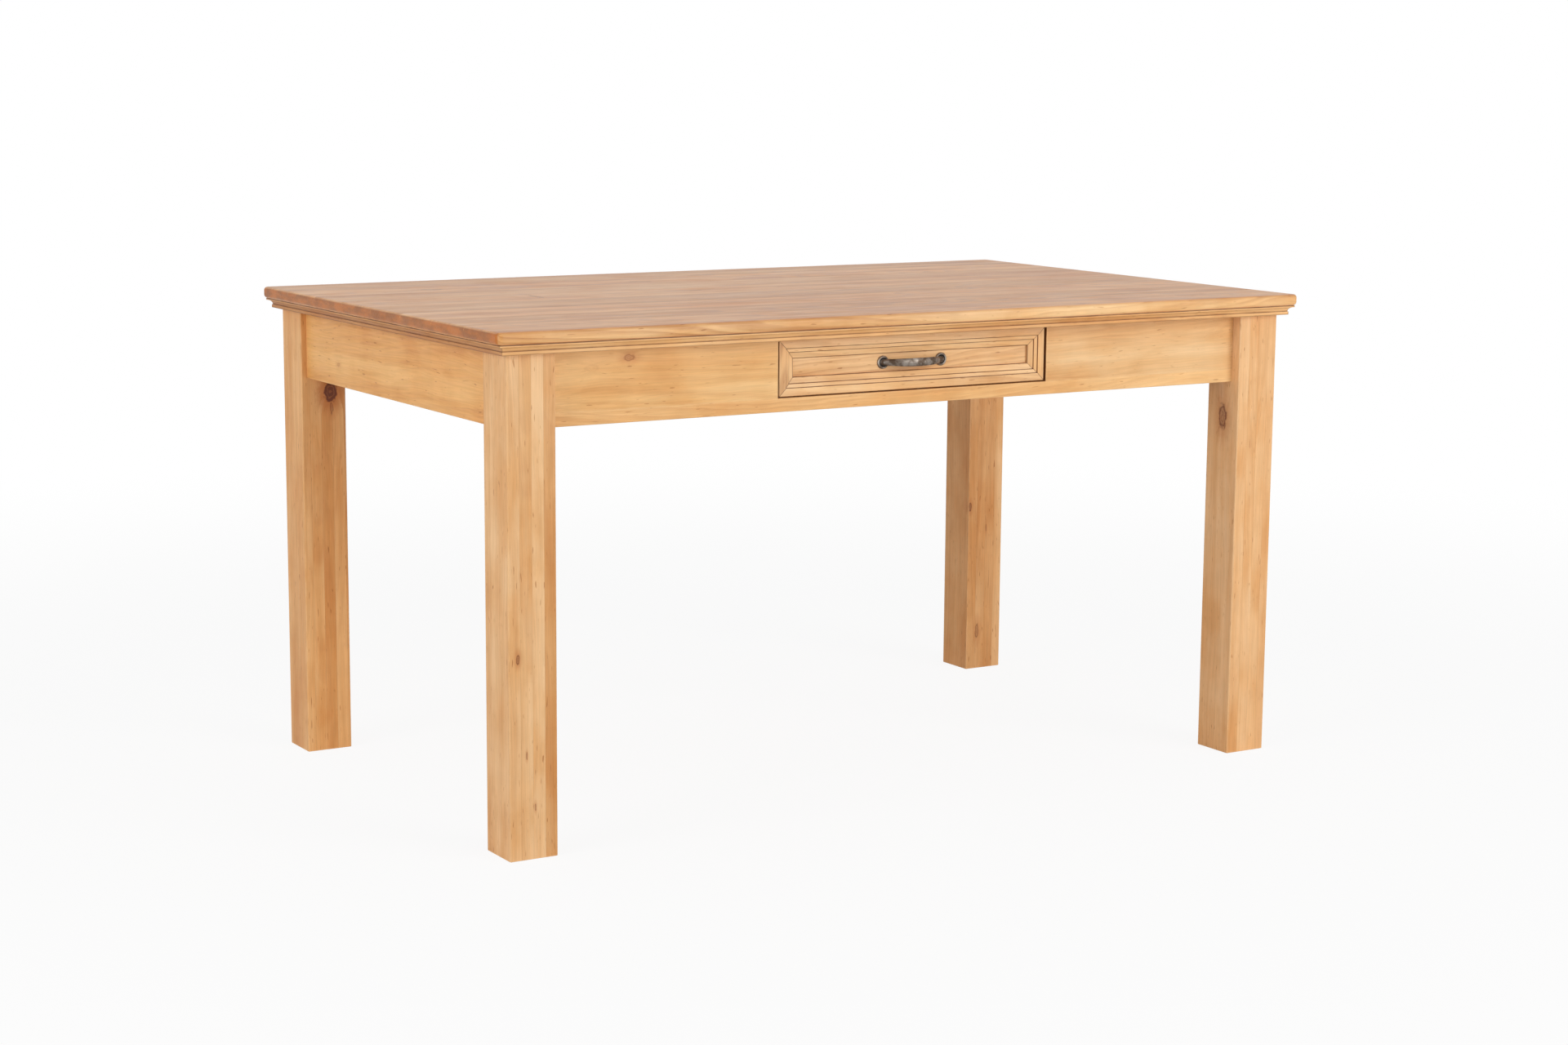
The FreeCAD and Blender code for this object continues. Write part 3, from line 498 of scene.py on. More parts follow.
@dataclass(frozen=True)
class PineFinish(Finish):
    """Pine with a coloured wax, from a pale ground to warm streaks and darker summer wood.

    A finish with a side tone is for a top whose sides are rounded: the tone goes on the sides as painted
    light, giving them a colour apart from the top face of the same wood, and end grain there follows the way
    that a side faces in plan.
    """

    pale: Colour
    warm: Colour
    late: Colour
    end: Colour = tint(164, 108, 66)
    end_start: float = 0.45
    end_share: float = 0.92
    end_dark: float = 0.6
    painted_side_tone: Colour | None = None
    streak: float = 3.2
    contrast: float = 0.3
    ring_spacing: float = 11 * MM
    wander: float = 0.07
    mottle: float = 0.85
    fleck: float = 0.55
    gloss: float = 0.46
    specular: float = 0.25
    wear: float = 0.45
    wear_reach: float = 3 * MM
    knot_core: Colour = tint(104, 50, 22)
    knot_halo: Colour = tint(180, 106, 50)
    halo_share: float = 0.6
    # Colour of the dark lines: old wax in creases, mitres and glued seams, and painted shade under edges.
    stain: Colour = tint(88, 44, 18)
    stave_tone: Colour = (0.88, 0.78, 0.66)
    stave_share: float = 0.9
    seam_share: float = 0.3
    log_spans: tuple[tuple[float, float], ...] = ((-4, 4), (-0.06, 0.06), (0.05, 0.12))

    def dress(self, piece: Object, grain: Axis, seed: int, tone: Colour = PLAIN, knots: Sequence[Knot] = (),
              stave: float = 0.0, worn_box: Sequence[Vector] | None = None) -> None:
        """Makes the piece's own length of wood and puts it on.

        Args:
            piece: the mesh to dress, in its place.
            grain: the way that its grain runs.
            seed: picks the log that it is cut from.
            tone: how light and how warm this length is beside its neighbours.
            knots: the knots that it shows.
            stave: the width of its glued staves, or 0 for one board.
            worn_box: the lowest and highest corners of what wears along its edges, if not the piece itself.
        """
        bench, shader = new_skin(piece, f"{self.name}_{piece.name}")
        low, high = limits([Vector(corner) for corner in piece.bound_box])
        here = bench.wire("ShaderNodeTexCoord", "Object")
        where, core, halo = self.knotted(bench, here, knots)

        chance = random.Random(seed)
        turn = Euler(grain.value)
        log = Vector([chance.uniform(*span) for span in self.log_spans])
        shift = log - turn.to_matrix() @ ((low + high) / 2)
        along = bench.wire("ShaderNodeMapping", 0, {"Vector": where, "Location": shift, "Rotation": turn})
        glued = None
        if stave:
            glued = bench.group(glued_staves(), {"Position": along, "Width": stave})
            along = glued["Position"]
        shades = {"Pale": self.pale, "Warm": self.warm, "Late": self.late}
        tones = {label: (*(c * t for c, t in zip(shade, tone)), 1.0) for label, shade in shades.items()}
        figure = bench.group(pine_figure(), {
            "Position": along, "Ring Spacing": self.ring_spacing, "Wander": self.wander, **tones,
            "Streak": self.streak, "Contrast": self.contrast, "Mottle": self.mottle, "Fleck": self.fleck,
            "Gloss": self.gloss})
        colour = figure["Color"]
        if glued:
            band = glued["Tone"].ramp(0.0, 1.0, 0.0, self.stave_share)
            colour = bench.blend(band, colour, self.stave_tone, "MULTIPLY")
            colour = bench.blend(glued["Seam"] * self.seam_share, colour, self.stain)
        colour = self.ended(bench, here, colour, grain)
        if core:
            colour = bench.blend(halo * self.halo_share, colour, self.knot_halo)
            colour = bench.blend(core, colour, self.knot_core)
        colour = self.worn_and_shaded(bench, here, colour, piece, worn_box or (low, high))
        shader.inputs["Specular IOR Level"].default_value = self.specular
        self.join(bench, shader, colour, figure["Roughness"], figure["Height"])

    def knotted(self, bench: Bench, here: Wire,
                knots: Sequence[Knot]) -> tuple[Wire, Wire | None, Wire | None]:
        """Chains the knots.

        Args:
            bench: the material's bench.
            here: the object's coordinates.
            knots: the knots to place.

        Returns:
            The coordinates pushed aside by the knots, and the masks of their cores and halos.
        """
        core = halo = None
        for knot in knots:
            made = bench.group(pine_knot(), {"Position": here, "Centre": knot.centre, "Size": knot.size})
            here = made["Position"]
            inner, outer = (made[label] * knot.dark for label in ("Core", "Halo"))
            core = bench.maths("MAXIMUM", core, inner) if core else inner
            halo = bench.maths("MAXIMUM", halo, outer) if halo else outer
        return here, core, halo

    def ended(self, bench: Bench, here: Wire, colour: Wire, grain: Axis) -> Wire:
        """Adds the painted side tone and the end grain.

        Args:
            bench: the material's bench.
            here: the object's coordinates.
            colour: the colour of the long faces.
            grain: the way that the grain runs.

        Returns:
            The colour with blotched end grain where a face cuts across the grain.
        """
        normal = bench.wire("ShaderNodeNewGeometry", "Normal")
        share = self.end_share
        # Painted light: the sides of a rounded top take a colour apart from its top face, picked by which
        # way they face.
        if self.painted_side_tone:
            side = abs(bench.maths("DOT_PRODUCT", normal, Axis.Z.way)).ramp(0.9, 0.5)
            colour = bench.blend(side, colour, self.painted_side_tone, "MULTIPLY")
            share = side * share
            normal = bench.maths("NORMALIZE", normal * (1.0, 1.0, 0.0))
        facing = abs(bench.maths("DOT_PRODUCT", normal, grain.way))
        blotched = bench.noise(here, (30.0, 30.0, 90.0), 4.0).ramp(0.36, 0.66)
        end = bench.blend(blotched, self.end, tuple(c * self.end_dark for c in self.end))
        return bench.blend(facing.ramp(self.end_start, 0.95) * share, colour, end)

    def worn_and_shaded(self, bench: Bench, here: Wire, colour: Wire, piece: Object,
             worn_box: Sequence[Vector]) -> Wire:
        """Adds what use has left.

        Args:
            bench: the material's bench.
            here: the object's coordinates.
            colour: the colour of the fresh wood.
            piece: the piece, which may hold a vertex layer of dark lines, partly old wax and partly painted
                shade.
            worn_box: the lowest and highest corners of what wears along its edges.

        Returns:
            The colour with pale worn edges and dark lines, partly old wax in creases and mitres and partly
            painted shade under edges.
        """
        low, high = worn_box
        inputs = {"Position": here, "Middle": (low + high) / 2, "Half": (high - low) / 2,
                  "Reach": self.wear_reach}
        worn = bench.group(edge_wear(), inputs)["Mask"]
        colour = bench.blend(worn * self.wear, colour, self.pale)
        # Dark lines from the vertex layer: old wax together with painted shade.
        if DIRT_AND_SHADE in piece.data.attributes:
            darkness = bench.wire("ShaderNodeAttribute", "Fac", attribute_name=DIRT_AND_SHADE)
            patchy = bench.noise(here, (36.0,) * 3, 3.0).ramp(0.3, 0.7, 0.7, 1.0)
            colour = bench.blend(darkness * patchy, colour, self.stain)
        return colour


@dataclass(frozen=True)
class MetalFinish(Finish):
    """Metal with tarnish in blotches."""

    bright: Colour
    tarnished: Colour
    metallic: float
    roughness: float
    scale: float
    grime: Colour = tint(30, 24, 20)
    tarnish_roughness: float = 0.22
    relief: float = field(default=0.15, kw_only=True)
    relief_depth: float = field(default=0.1 * MM, kw_only=True)

    def dress(self, piece: Object) -> None:
        """Makes the metal and puts it on.

        Args:
            piece: the mesh to dress, in its place.
        """
        bench, shader = new_skin(piece, f"{self.name}_{piece.name}")
        here = bench.wire("ShaderNodeTexCoord", "Object")
        patina = bench.group(metal_patina(), {"Position": here, "Scale": self.scale})
        tarnish = patina["Tarnish"]
        colour = bench.blend(tarnish, self.bright, self.tarnished)
        if DIRT_AND_SHADE in piece.data.attributes:
            darkness = bench.wire("ShaderNodeAttribute", "Fac", attribute_name=DIRT_AND_SHADE)
            colour = bench.blend(darkness, colour, self.grime)
        rough = tarnish.ramp(0.0, 1.0, self.roughness, self.roughness + self.tarnish_roughness)
        shader.inputs["Metallic"].default_value = self.metallic
        self.join(bench, shader, colour, rough, patina["Pits"])


WAXED_PINE = PineFinish("waxed_pine", tint(238, 194, 138), tint(220, 164, 102), tint(186, 120, 62))
LEG_PINE = PineFinish("leg_pine", tint(240, 198, 148), tint(216, 160, 100), tint(188, 122, 66),
                      contrast=0.16, streak=2.2, fleck=0.7)
# The apron boards' end grain is far darker than plain end grain: end grain together with painted shade, for
# the front panels' ends that face into the drawer's gaps.
APRON_PINE = PineFinish("apron_pine", tint(238, 194, 136), tint(220, 164, 100), tint(184, 118, 58),
                        end=tint(104, 54, 26), contrast=0.2, mottle=0.7, streak=2.4,
                        knot_core=tint(142, 76, 34))
DRAWER_PINE = PineFinish("drawer_pine", tint(238, 197, 146), tint(217, 164, 106), tint(166, 104, 54),
                         contrast=0.42)
# The top's sides take a painted side tone, paler and less red than the top face of the same wood, for the
# different light on them.
TOP_PINE = PineFinish("top_pine", tint(238, 184, 132), tint(216, 154, 100), tint(178, 112, 64),
                      gloss=0.42, specular=0.3, contrast=0.5, streak=2.8, ring_spacing=9 * MM, wander=0.09,
                      end=tint(180, 100, 28), painted_side_tone=(0.99, 1.13, 1.12), end_start=0.7)
INNER_PINE = PineFinish("inner_pine", tint(226, 190, 142), tint(212, 168, 114), tint(188, 134, 82),
                        gloss=0.62, specular=0.3, wear=0.1)
PLYWOOD = PineFinish("drawer_plywood", tint(222, 190, 148), tint(208, 168, 122), tint(190, 146, 98),
                     gloss=0.6, specular=0.3, contrast=0.35, ring_spacing=14 * MM, wander=0.1)
BEECH = PineFinish("beech_dowel", tint(214, 174, 130), tint(200, 156, 110), tint(182, 134, 90),
                   gloss=0.6, contrast=0.2)
ANTIQUE = MetalFinish("antique_metal", tint(136, 127, 118), tint(84, 68, 55), 0.85, 0.4, 90.0)
PEWTER = MetalFinish("pewter_rim", tint(178, 170, 160), tint(112, 98, 86), 0.8, 0.38, 110.0)
ZINC = MetalFinish("zinc_steel", tint(186, 188, 190), tint(140, 140, 138), 0.95, 0.3, 260.0)


def block(low: Vector, high: Vector) -> BMesh:
    """A plain block.

    Args:
        low: its lowest corner.
        high: its highest corner.

    Returns:
        Its mesh.
    """
    mesh = bmesh.new()
    bmesh.ops.create_cube(mesh, size=1.0)
    bmesh.ops.scale(mesh, vec=high - low, verts=mesh.verts)
    bmesh.ops.translate(mesh, vec=(low + high) / 2, verts=mesh.verts)
    return mesh


def ease(mesh: BMesh, chosen: Test, radius: float, segments: int = 3) -> None:
    """Rounds the edges that a test picks.

    Args:
        mesh: the mesh to change.
        chosen: the test that an edge has to pass.
        radius: how far the rounding reaches on each side.
        segments: how many facets it has.
    """
    edges = [edge for edge in mesh.edges if chosen(edge)]
    bmesh.ops.bevel(mesh, geom=edges, offset=radius, offset_type="OFFSET", affect="EDGES", segments=segments,
                    profile=0.5, material=-1, clamp_overlap=True)


def cut(mesh: BMesh, place: Place, way: Place, clear: bool = False) -> None:
    """Cuts a mesh along the plane through a place and square to a way, and can clear what lies past it."""
    bmesh.ops.bisect_plane(mesh, geom=[*mesh.verts, *mesh.edges, *mesh.faces], plane_co=place, plane_no=way,
                           clear_outer=clear)


def close_holes(mesh: BMesh) -> None:
    """Fills every hole of a mesh."""
    bmesh.ops.holes_fill(mesh, edges=[edge for edge in mesh.edges if edge.is_boundary])


def verts_of(geom: Sequence) -> list[BMVert]:
    """The vertices among an operator's results."""
    return [item for item in geom if isinstance(item, BMVert)]


def lies_on(axis: int, value: float) -> Test:
    """A test for edges that lie in a plane square to an axis."""
    return lambda edge: all(abs(vert.co[axis] - value) < TOUCH for vert in edge.verts)


def runs_along(axis: int) -> Test:
    """A test for edges parallel to an axis."""
    others = [other for other in range(3) if other != axis]
    return lambda edge: all(abs(edge.verts[0].co[i] - edge.verts[1].co[i]) < TOUCH for i in others)


def any_of(tests: Sequence[Test]) -> Test:
    """A test that an edge passes if it passes one of several."""
    return lambda edge: any(test(edge) for test in tests)


def is_square(edge: BMEdge) -> bool:
    """Whether the faces at an edge meet at about a right angle."""
    return edge.calc_face_angle(0.0) > SQUARE_ANGLE


def spun(places: Sequence[tuple[float, ...]], steps: int) -> BMesh:
    """A shape spun about the Z axis.

    Args:
        places: the corners of its section, each out from the axis, up and, if it has one, how dark it is.
        steps: how many facets it has round the axis.

    Returns:
        Its mesh, closed where the section starts and ends on the axis.
    """
    mesh = bmesh.new()
    stain = mesh.verts.layers.float.new(DIRT_AND_SHADE)
    verts = []
    for out, up, *darkness in places:
        verts.append(mesh.verts.new((out, 0, up)))
        verts[-1][stain] = sum(darkness)
    edges = [mesh.edges.new(pair) for pair in zip(verts, verts[1:])]
    bmesh.ops.spin(mesh, geom=[*verts, *edges], cent=(0, 0, 0), axis=(0, 0, 1), dvec=(0, 0, 0),
                   angle=2 * math.pi, steps=steps, use_merge=True)
    bmesh.ops.remove_doubles(mesh, verts=mesh.verts, dist=TOUCH)
    return mesh


def new_object(name: str, data: bpy.types.ID) -> Object:
    """Adds an object to the scene.

    Args:
        name: its name.
        data: its mesh, lamp or camera.

    Returns:
        The object.
    """
    made = bpy.data.objects.new(name, data)
    bpy.context.scene.collection.objects.link(made)
    return made


def new_piece(name: str, mesh: BMesh) -> Object:
    """Adds a finished shape to the scene.

    Args:
        name: the name of the object and of its mesh.
        mesh: the shape, which is freed.

    Returns:
        The object.
    """
    data = bpy.data.meshes.new(name)
    mesh.to_mesh(data)
    mesh.free()
    return new_object(name, data)


@dataclass
class SubAssembly:
    """Pieces that ride on one body of the table."""

    body: str

    def place(self, name: str, mesh: BMesh, slot: str, nodes: Sequence[str] = (),
              smooth_angle: float = 40.0) -> Object:
        """Makes a finished mesh a piece of the table.

        Args:
            name: the piece's name.
            mesh: its shape, in its place. It is freed.
            slot: the record's material slot for its finish; not used.
            nodes: the nodes that it stands for.
            smooth_angle: the angle in degrees past which an edge stays sharp.

        Returns:
            The piece.
        """
        bmesh.ops.recalc_face_normals(mesh, faces=mesh.faces)
        piece = new_piece(name, mesh)
        piece.data.shade_smooth()
        piece.data.set_sharp_from_angle(angle=math.radians(smooth_angle))
        even = piece.modifiers.new("even_shading", "WEIGHTED_NORMAL")
        even.keep_sharp = True
        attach(piece, self.body)
        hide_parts(*nodes)
        LOG.info("%s stands for %s on %s", name, ", ".join(nodes), self.body)
        return piece


@dataclass
class TableTop(SubAssembly):
    """The boards of the top, rounded along the outside and eased a hair at each joint."""

    body: str = "table"
    seed: int = 100
    upper_radius: float = 5.5 * MM
    lower_radius: float = 6 * MM
    corner_radius: float = 9 * MM
    round_facets: int = 5
    joint_ease: float = 0.25 * MM
    tones: tuple[float, ...] = (1.03, 0.97, 1.06, 0.95, 1.04, 0.99, 1.07, 0.96)
    knots: dict[int, tuple[Knot, ...]] = field(default_factory=lambda: {
        5: (Knot((-0.403, 0.066, 0.75), (0.004, 0.026, 0.02), 0.4),
            Knot((-0.123, 0.059, 0.75), (0.012, 0.006, 0.02), 0.35)),
        7: (Knot((-0.118, 0.256, 0.75), (0.022, 0.012, 0.02), 0.3),
            Knot((-0.492, 0.262, 0.75), (0.02, 0.01, 0.02), 0.3)),
    })

    def build(self) -> None:
        """Builds and dresses every board."""
        count = len(self.tones)
        whole = (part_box("top_board_1")[0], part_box(f"top_board_{count}")[1])
        for index, shade in enumerate(self.tones, 1):
            name = f"top_board_{index}"
            mesh = self.board(*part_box(name), index == 1, index == count)
            piece = self.place(f"board_{index}", mesh, "pine_top", [name])
            knots = self.knots.get(index, ())
            TOP_PINE.dress(piece, Axis.X, self.seed + index, (shade,) * 3, knots, worn_box=whole)

    def board(self, low: Vector, high: Vector, first: bool, last: bool) -> BMesh:
        """One board of the top.

        Args:
            low: its lowest corner.
            high: its highest corner.
            first: whether its near long edge is the front of the table.
            last: whether its far long edge is the back of the table.

        Returns:
            Its mesh, with the outer edges rounded and the joint edges eased.
        """
        mesh = block(low, high)
        sides = ((first, lies_on(1, low.y)), (last, lies_on(1, high.y)))
        outside = any_of([side for outer, side in sides if outer])
        joint = any_of([side for outer, side in sides if not outer])
        upright = runs_along(2)
        ease(mesh, lambda edge: upright(edge) and outside(edge), self.corner_radius, self.round_facets)
        for level, radius in ((high.z, self.upper_radius), (low.z, self.lower_radius)):
            at_level = lies_on(2, level)
            ease(mesh, lambda edge: at_level(edge) and not joint(edge), radius, self.round_facets)
        halfway = (low.z + high.z) / 2
        ease(mesh, lambda edge: joint(edge) and min(vert.co.z for vert in edge.verts) > halfway,
             self.joint_ease, 1)
        return mesh


@dataclass(frozen=True)
class Corner:
    """A corner of a moulding's section, in from the outer edge and up from the foot.

    A corner with a dark value holds a dark line: the lines in creases are old wax together with painted
    shade, and those under overhangs are painted shadow. A corner with a hollow is where a quarter-round
    hollow of that radius ends, which starts at the corner before it.
    """

    across: float
    up: float
    stain: float = 0.0
    hollow: float = 0.0

    @property
    def place(self) -> Vector:
        """The corner on the YZ plane."""
        return Vector((0, self.across, self.up))


@dataclass
class MitredFrame(SubAssembly):
    """Four strips of one section, mitred round a rectangle."""

    seed: int = 0
    piece_name: str = ""
    node_name: str = ""
    slot: str = ""
    finish: PineFinish = WAXED_PINE
    sides: tuple[str, ...] = ()
    cross_grain: Axis = Axis.Y
    tones: dict[str, Colour] = field(default_factory=dict)
    mitre_line: float = 1.2 * MM
    mitre_stain: float = 0.75
    # How wide the dark corner lines run. These lines are old wax together with painted shade.
    line_core: float = 0.3 * MM
    line_reach: float = 0.9 * MM
    line_shares: tuple[float, float] = (0.27, 0.55)
    arris: float = 0.35 * MM
    arris_angle: float = 0.5
    hollow_steps: int = 8

    def section(self) -> Sequence[Corner]:
        """The corners of the strips' section, in order."""
        raise NotImplementedError

    def frame_up(self, length: float, width: float, base: Matrix) -> None:
        """Builds and dresses the strips, each a quarter turn on from the one before.

        Args:
            length: the rectangle's length along its first strip.
            width: its width.
            base: the place and turn of the rectangle's middle.
        """
        for index, side in enumerate(self.sides):
            crosses = index % 2 == 1
            run, across = (width, length) if crosses else (length, width)
            turn = Matrix.Rotation(math.radians(90 * index), 4, "Z")
            mesh = self.strip(run)
            place = base @ turn @ Matrix.Translation((0, -across / 2, 0))
            bmesh.ops.transform(mesh, matrix=place, verts=mesh.verts)
            piece = self.place(f"{self.piece_name}_{side}", mesh, self.slot, [f"{self.node_name}_{side}"])
            grain = self.cross_grain if crosses else Axis.X
            self.finish.dress(piece, grain, self.seed + index, self.tones.get(side, PLAIN))

    def strip(self, length: float) -> BMesh:
        """One strip along X with its outer edge on the X axis.

        Args:
            length: its length along the outer edge.

        Returns:
            Its mesh, with how dark its corner lines and mitres are as a value on each vertex.
        """
        mesh = bmesh.new()
        stain = mesh.verts.layers.float.new(DIRT_AND_SHADE)
        face = mesh.faces.new(self.outline(mesh, stain))
        swept = bmesh.ops.extrude_face_region(mesh, geom=[face])["geom"]
        bmesh.ops.translate(mesh, vec=(length, 0, 0), verts=verts_of(swept))
        for place in (self.mitre_line, length - self.mitre_line):
            cut(mesh, (place, 0, 0), (1, 0, 0))
        for vert in mesh.verts:
            if vert.co.x < TOUCH or vert.co.x > length - TOUCH:
                vert[stain] = max(vert[stain], self.mitre_stain)
        bmesh.ops.recalc_face_normals(mesh, faces=mesh.faces)
        along = runs_along(0)
        ease(mesh, lambda edge: along(edge) and edge.calc_face_angle(0.0) > self.arris_angle, self.arris, 2)
        for end, slope in ((0.0, 1.0), (length, -1.0)):
            verts = [vert for vert in mesh.verts if abs(vert.co.x - end) < length / 2]
            mitre = Matrix(((1, slope, 0, 0), (0, 1, 0, 0), (0, 0, 1, 0), (0, 0, 0, 1)))
            bmesh.ops.transform(mesh, matrix=mitre, verts=verts)
        bmesh.ops.translate(mesh, vec=(-length / 2, 0, 0), verts=mesh.verts)
        return mesh

    def outline(self, mesh: BMesh, stain: BMLayerItem) -> list[BMVert]:
        """Lays the section's vertices on the YZ plane.

        Args:
            mesh: the mesh to add them to.
            stain: the layer that holds how dark each vertex is.

        Returns:
            The vertices in order.
        """
        corners = list(self.section())
        ring = []
        for index, corner in enumerate(corners):
            if corner.hollow:
                before = set(mesh.verts)
                pivot = (0, ring[-1].co.y, corner.up)
                bmesh.ops.spin(mesh, geom=[ring[-1]], cent=pivot, axis=(1, 0, 0), dvec=(0, 0, 0),
                               angle=-math.pi / 2, steps=self.hollow_steps)
                hollow = [vert for vert in mesh.verts if vert not in before]
                for vert in hollow:
                    vert[stain] = 0.0
                hollow[0][stain] = hollow[-2][stain] = corner.stain / 2
                hollow[-1][stain] = corner.stain
                ring += hollow
                continue
            lines = [(corner.place, corner.stain)]
            if corner.stain:
                ahead = corners[(index + 1) % len(corners)]
                lines[:0] = self.fading(corner, corners[index - 1])[::-1]
                lines += [] if ahead.hollow else self.fading(corner, ahead)
            for point, darkness in lines:
                ring.append(mesh.verts.new(point))
                ring[-1][stain] = darkness
        return ring

    def fading(self, corner: Corner, towards: Corner) -> list[tuple[Vector, float]]:
        """Where the dark line of a darkened corner fades.

        Args:
            corner: the darkened corner.
            towards: the corner beside it that the line fades towards.

        Returns:
            The two places where the line starts to fade and where it ends, with how dark each is.
        """
        way = towards.place - corner.place
        reaches = ((self.line_core, corner.stain), (self.line_reach, 0.0))
        return [(corner.place + way.normalized() * min(reach, way.length * share), darkness)
                for (reach, darkness), share in zip(reaches, self.line_shares)]


@dataclass
class Cornice(MitredFrame):
    """The moulding under the edge of the top: fillet, quirk, cove, ledge and fillet."""

    body: str = "table"
    seed: int = 200
    piece_name: str = "cornice"
    node_name: str = "top_moulding"
    slot: str = "pine_moulding"
    sides: tuple[str, ...] = ("front", "right", "back", "left")
    # The left strip's darker, browner tone is partly painted shade, for the side under the top's overhang,
    # and partly a browner tone of its own.
    tones: dict[str, Colour] = field(default_factory=lambda: {
        "left": (0.68, 0.56, 0.46), "front": (0.95, 0.89, 0.82)})
    line_core: float = 0.8 * MM
    line_reach: float = 1.6 * MM
    line: float = 0.9
    # Strength of the painted shadow line along the foot, where the cornice meets the board below.
    foot_shadow_line: float = 0.5
    fillet: float = 3 * MM
    quirk: float = 1 * MM
    cove: float = 7 * MM
    ledge: float = 1.2 * MM
    foot: float = 5 * MM

    def section(self) -> Sequence[Corner]:
        """The section of the cornice.

        Returns:
            Its corners, from the upper outer edge round.
        """
        low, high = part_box("top_moulding_front")
        width, height = high.y - low.y, high.z - low.z
        soffit = height - self.fillet
        inner = self.quirk + self.cove
        # The line at the upper outer corner is painted shadow under the top's rounded edge; those in the
        # quirk and where the cove ends are old wax together with painted shade; the one at the foot is
        # painted shadow under the cornice.
        return (Corner(0, height, self.line), Corner(0, soffit), Corner(self.quirk, soffit, self.line),
                Corner(inner, self.foot, self.line, self.cove), Corner(inner - self.ledge, self.foot),
                Corner(inner - self.ledge, 0, self.foot_shadow_line), Corner(width, 0), Corner(width, height))

    def build(self) -> None:
        """Builds and dresses the four strips."""
        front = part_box("top_moulding_front")
        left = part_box("top_moulding_left")
        self.frame_up(front[1].x - front[0].x, left[1].y - left[0].y, Matrix.Translation((0, 0, front[0].z)))


@dataclass
class Legs(SubAssembly):
    """Square legs glued up from staves, with eased edges and a flat where the corner bolts enter."""

    body: str = "table"
    seed: int = 300
    edge: float = 2 * MM
    flat: float = 14 * MM
    stave: float = 19 * MM
    tones: dict[str, Colour] = field(default_factory=lambda: {
        "front_left": (0.96, 0.96, 0.96), "front_right": (1.0, 1.0, 1.02),
        "back_left": (0.93, 0.84, 0.7), "back_right": (0.95, 0.9, 0.84)})
    knots: dict[str, tuple[Knot, ...]] = field(default_factory=lambda: {
        "back_left": (Knot((-0.637, 0.336, 0.586), (0.011, 0.02, 0.016), 1.5),
                      Knot((-0.635, 0.336, 0.552), (0.004, 0.012, 0.006), 0.6)),
        "front_right": (Knot((0.611, -0.374, 0.551), (0.02, 0.0095, 0.021), 0.8),
                        Knot((0.611, -0.372, 0.522), (0.012, 0.003, 0.009), 0.85)),
        "front_left": (Knot((-0.672, -0.411, 0.29), (0.003, 0.012, 0.007), 0.75),
                       Knot((-0.659, -0.411, 0.151), (0.0012, 0.006, 0.005), 0.6),
                       Knot((-0.646, -0.411, 0.075), (0.0012, 0.006, 0.005), 0.6)),
        "back_right": (Knot((0.615, 0.336, 0.305), (0.003, 0.01, 0.008), 0.8),
                       Knot((0.651, 0.336, 0.263), (0.0015, 0.008, 0.008), 0.5),
                       Knot((0.634, 0.336, 0.07), (0.004, 0.012, 0.014), 0.55)),
    })

    def build(self) -> None:
        """Builds and dresses every leg."""
        for seed, (name, tone) in enumerate(self.tones.items(), self.seed):
            node = f"leg_{name}"
            mesh = self.leg(*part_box(node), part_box("back_apron")[0].z)
            piece = self.place(f"leg_post_{name}", mesh, "pine_leg", [node])
            LEG_PINE.dress(piece, Axis.Z, seed, tone, self.knots[name], self.stave)

    def leg(self, low: Vector, high: Vector, apron_bottom: float) -> BMesh:
        """One leg.

        Args:
            low: its lowest corner.
            high: its highest corner.
            apron_bottom: the height at which the flat on its inner corner runs out.

        Returns:
            Its mesh.
        """
        mesh = block(low, high)
        inner = [low[i] if abs(low[i]) < abs(high[i]) else high[i] for i in (0, 1)]
        on_inner = [lies_on(axis, inner[axis]) for axis in (0, 1)]
        upright = runs_along(2)
        flat_start = apron_bottom + self.flat
        cut(mesh, (0, 0, flat_start), (0, 0, 1))
        ease(mesh, lambda edge: upright(edge) and all(test(edge) for test in on_inner)
             and min(vert.co.z for vert in edge.verts) > flat_start - TOUCH, self.flat, 1)
        ease(mesh, lambda edge: upright(edge) and is_square(edge), self.edge)
        ease(mesh, lies_on(2, low.z), self.edge / 2, 2)
        return mesh


@dataclass
class Aprons(SubAssembly):
    """The boards between the legs, with eased lower edges."""

    body: str = "table"
    seed: int = 400
    edge: float = 1.5 * MM
    joint_ease: float = 0.2 * MM
    grains: dict[str, Axis] = field(default_factory=lambda: {
        "back_apron": Axis.X, "left_apron": Axis.Y, "right_apron": Axis.Y, "front_bottom_rail": Axis.X,
        "front_panel_left": Axis.X, "front_panel_right": Axis.X})
    tones: dict[str, Colour] = field(default_factory=lambda: {
        "left_apron": (0.94, 0.82, 0.64), "front_panel_left": (1.0, 1.03, 1.03),
        "front_panel_right": (0.93, 0.96, 1.05)})
    knots: dict[str, tuple[Knot, ...]] = field(default_factory=lambda: {
        "front_panel_left": (Knot((-0.486, -0.393, 0.702), (0.009, 0.015, 0.005), 0.6),
                             Knot((-0.545, -0.393, 0.69), (0.012, 0.012, 0.005), 0.12)),
        "left_apron": (Knot((-0.676, 0.206, 0.644), (0.01, 0.006, 0.003), 0.35),),
    })

    def build(self) -> None:
        """Builds and dresses every board."""
        for seed, (name, grain) in enumerate(self.grains.items(), self.seed):
            low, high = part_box(name)
            mesh = block(low, high)
            under = lies_on(2, low.z)
            along = runs_along("XYZ".index(grain.name))
            lower = self.joint_ease if name.startswith("front_panel") else self.edge
            ease(mesh, lambda edge: under(edge) and along(edge), lower)
            piece = self.place(f"board_{name}", mesh, "pine_apron", [name])
            APRON_PINE.dress(piece, grain, seed, self.tones.get(name, PLAIN), self.knots.get(name, ()))


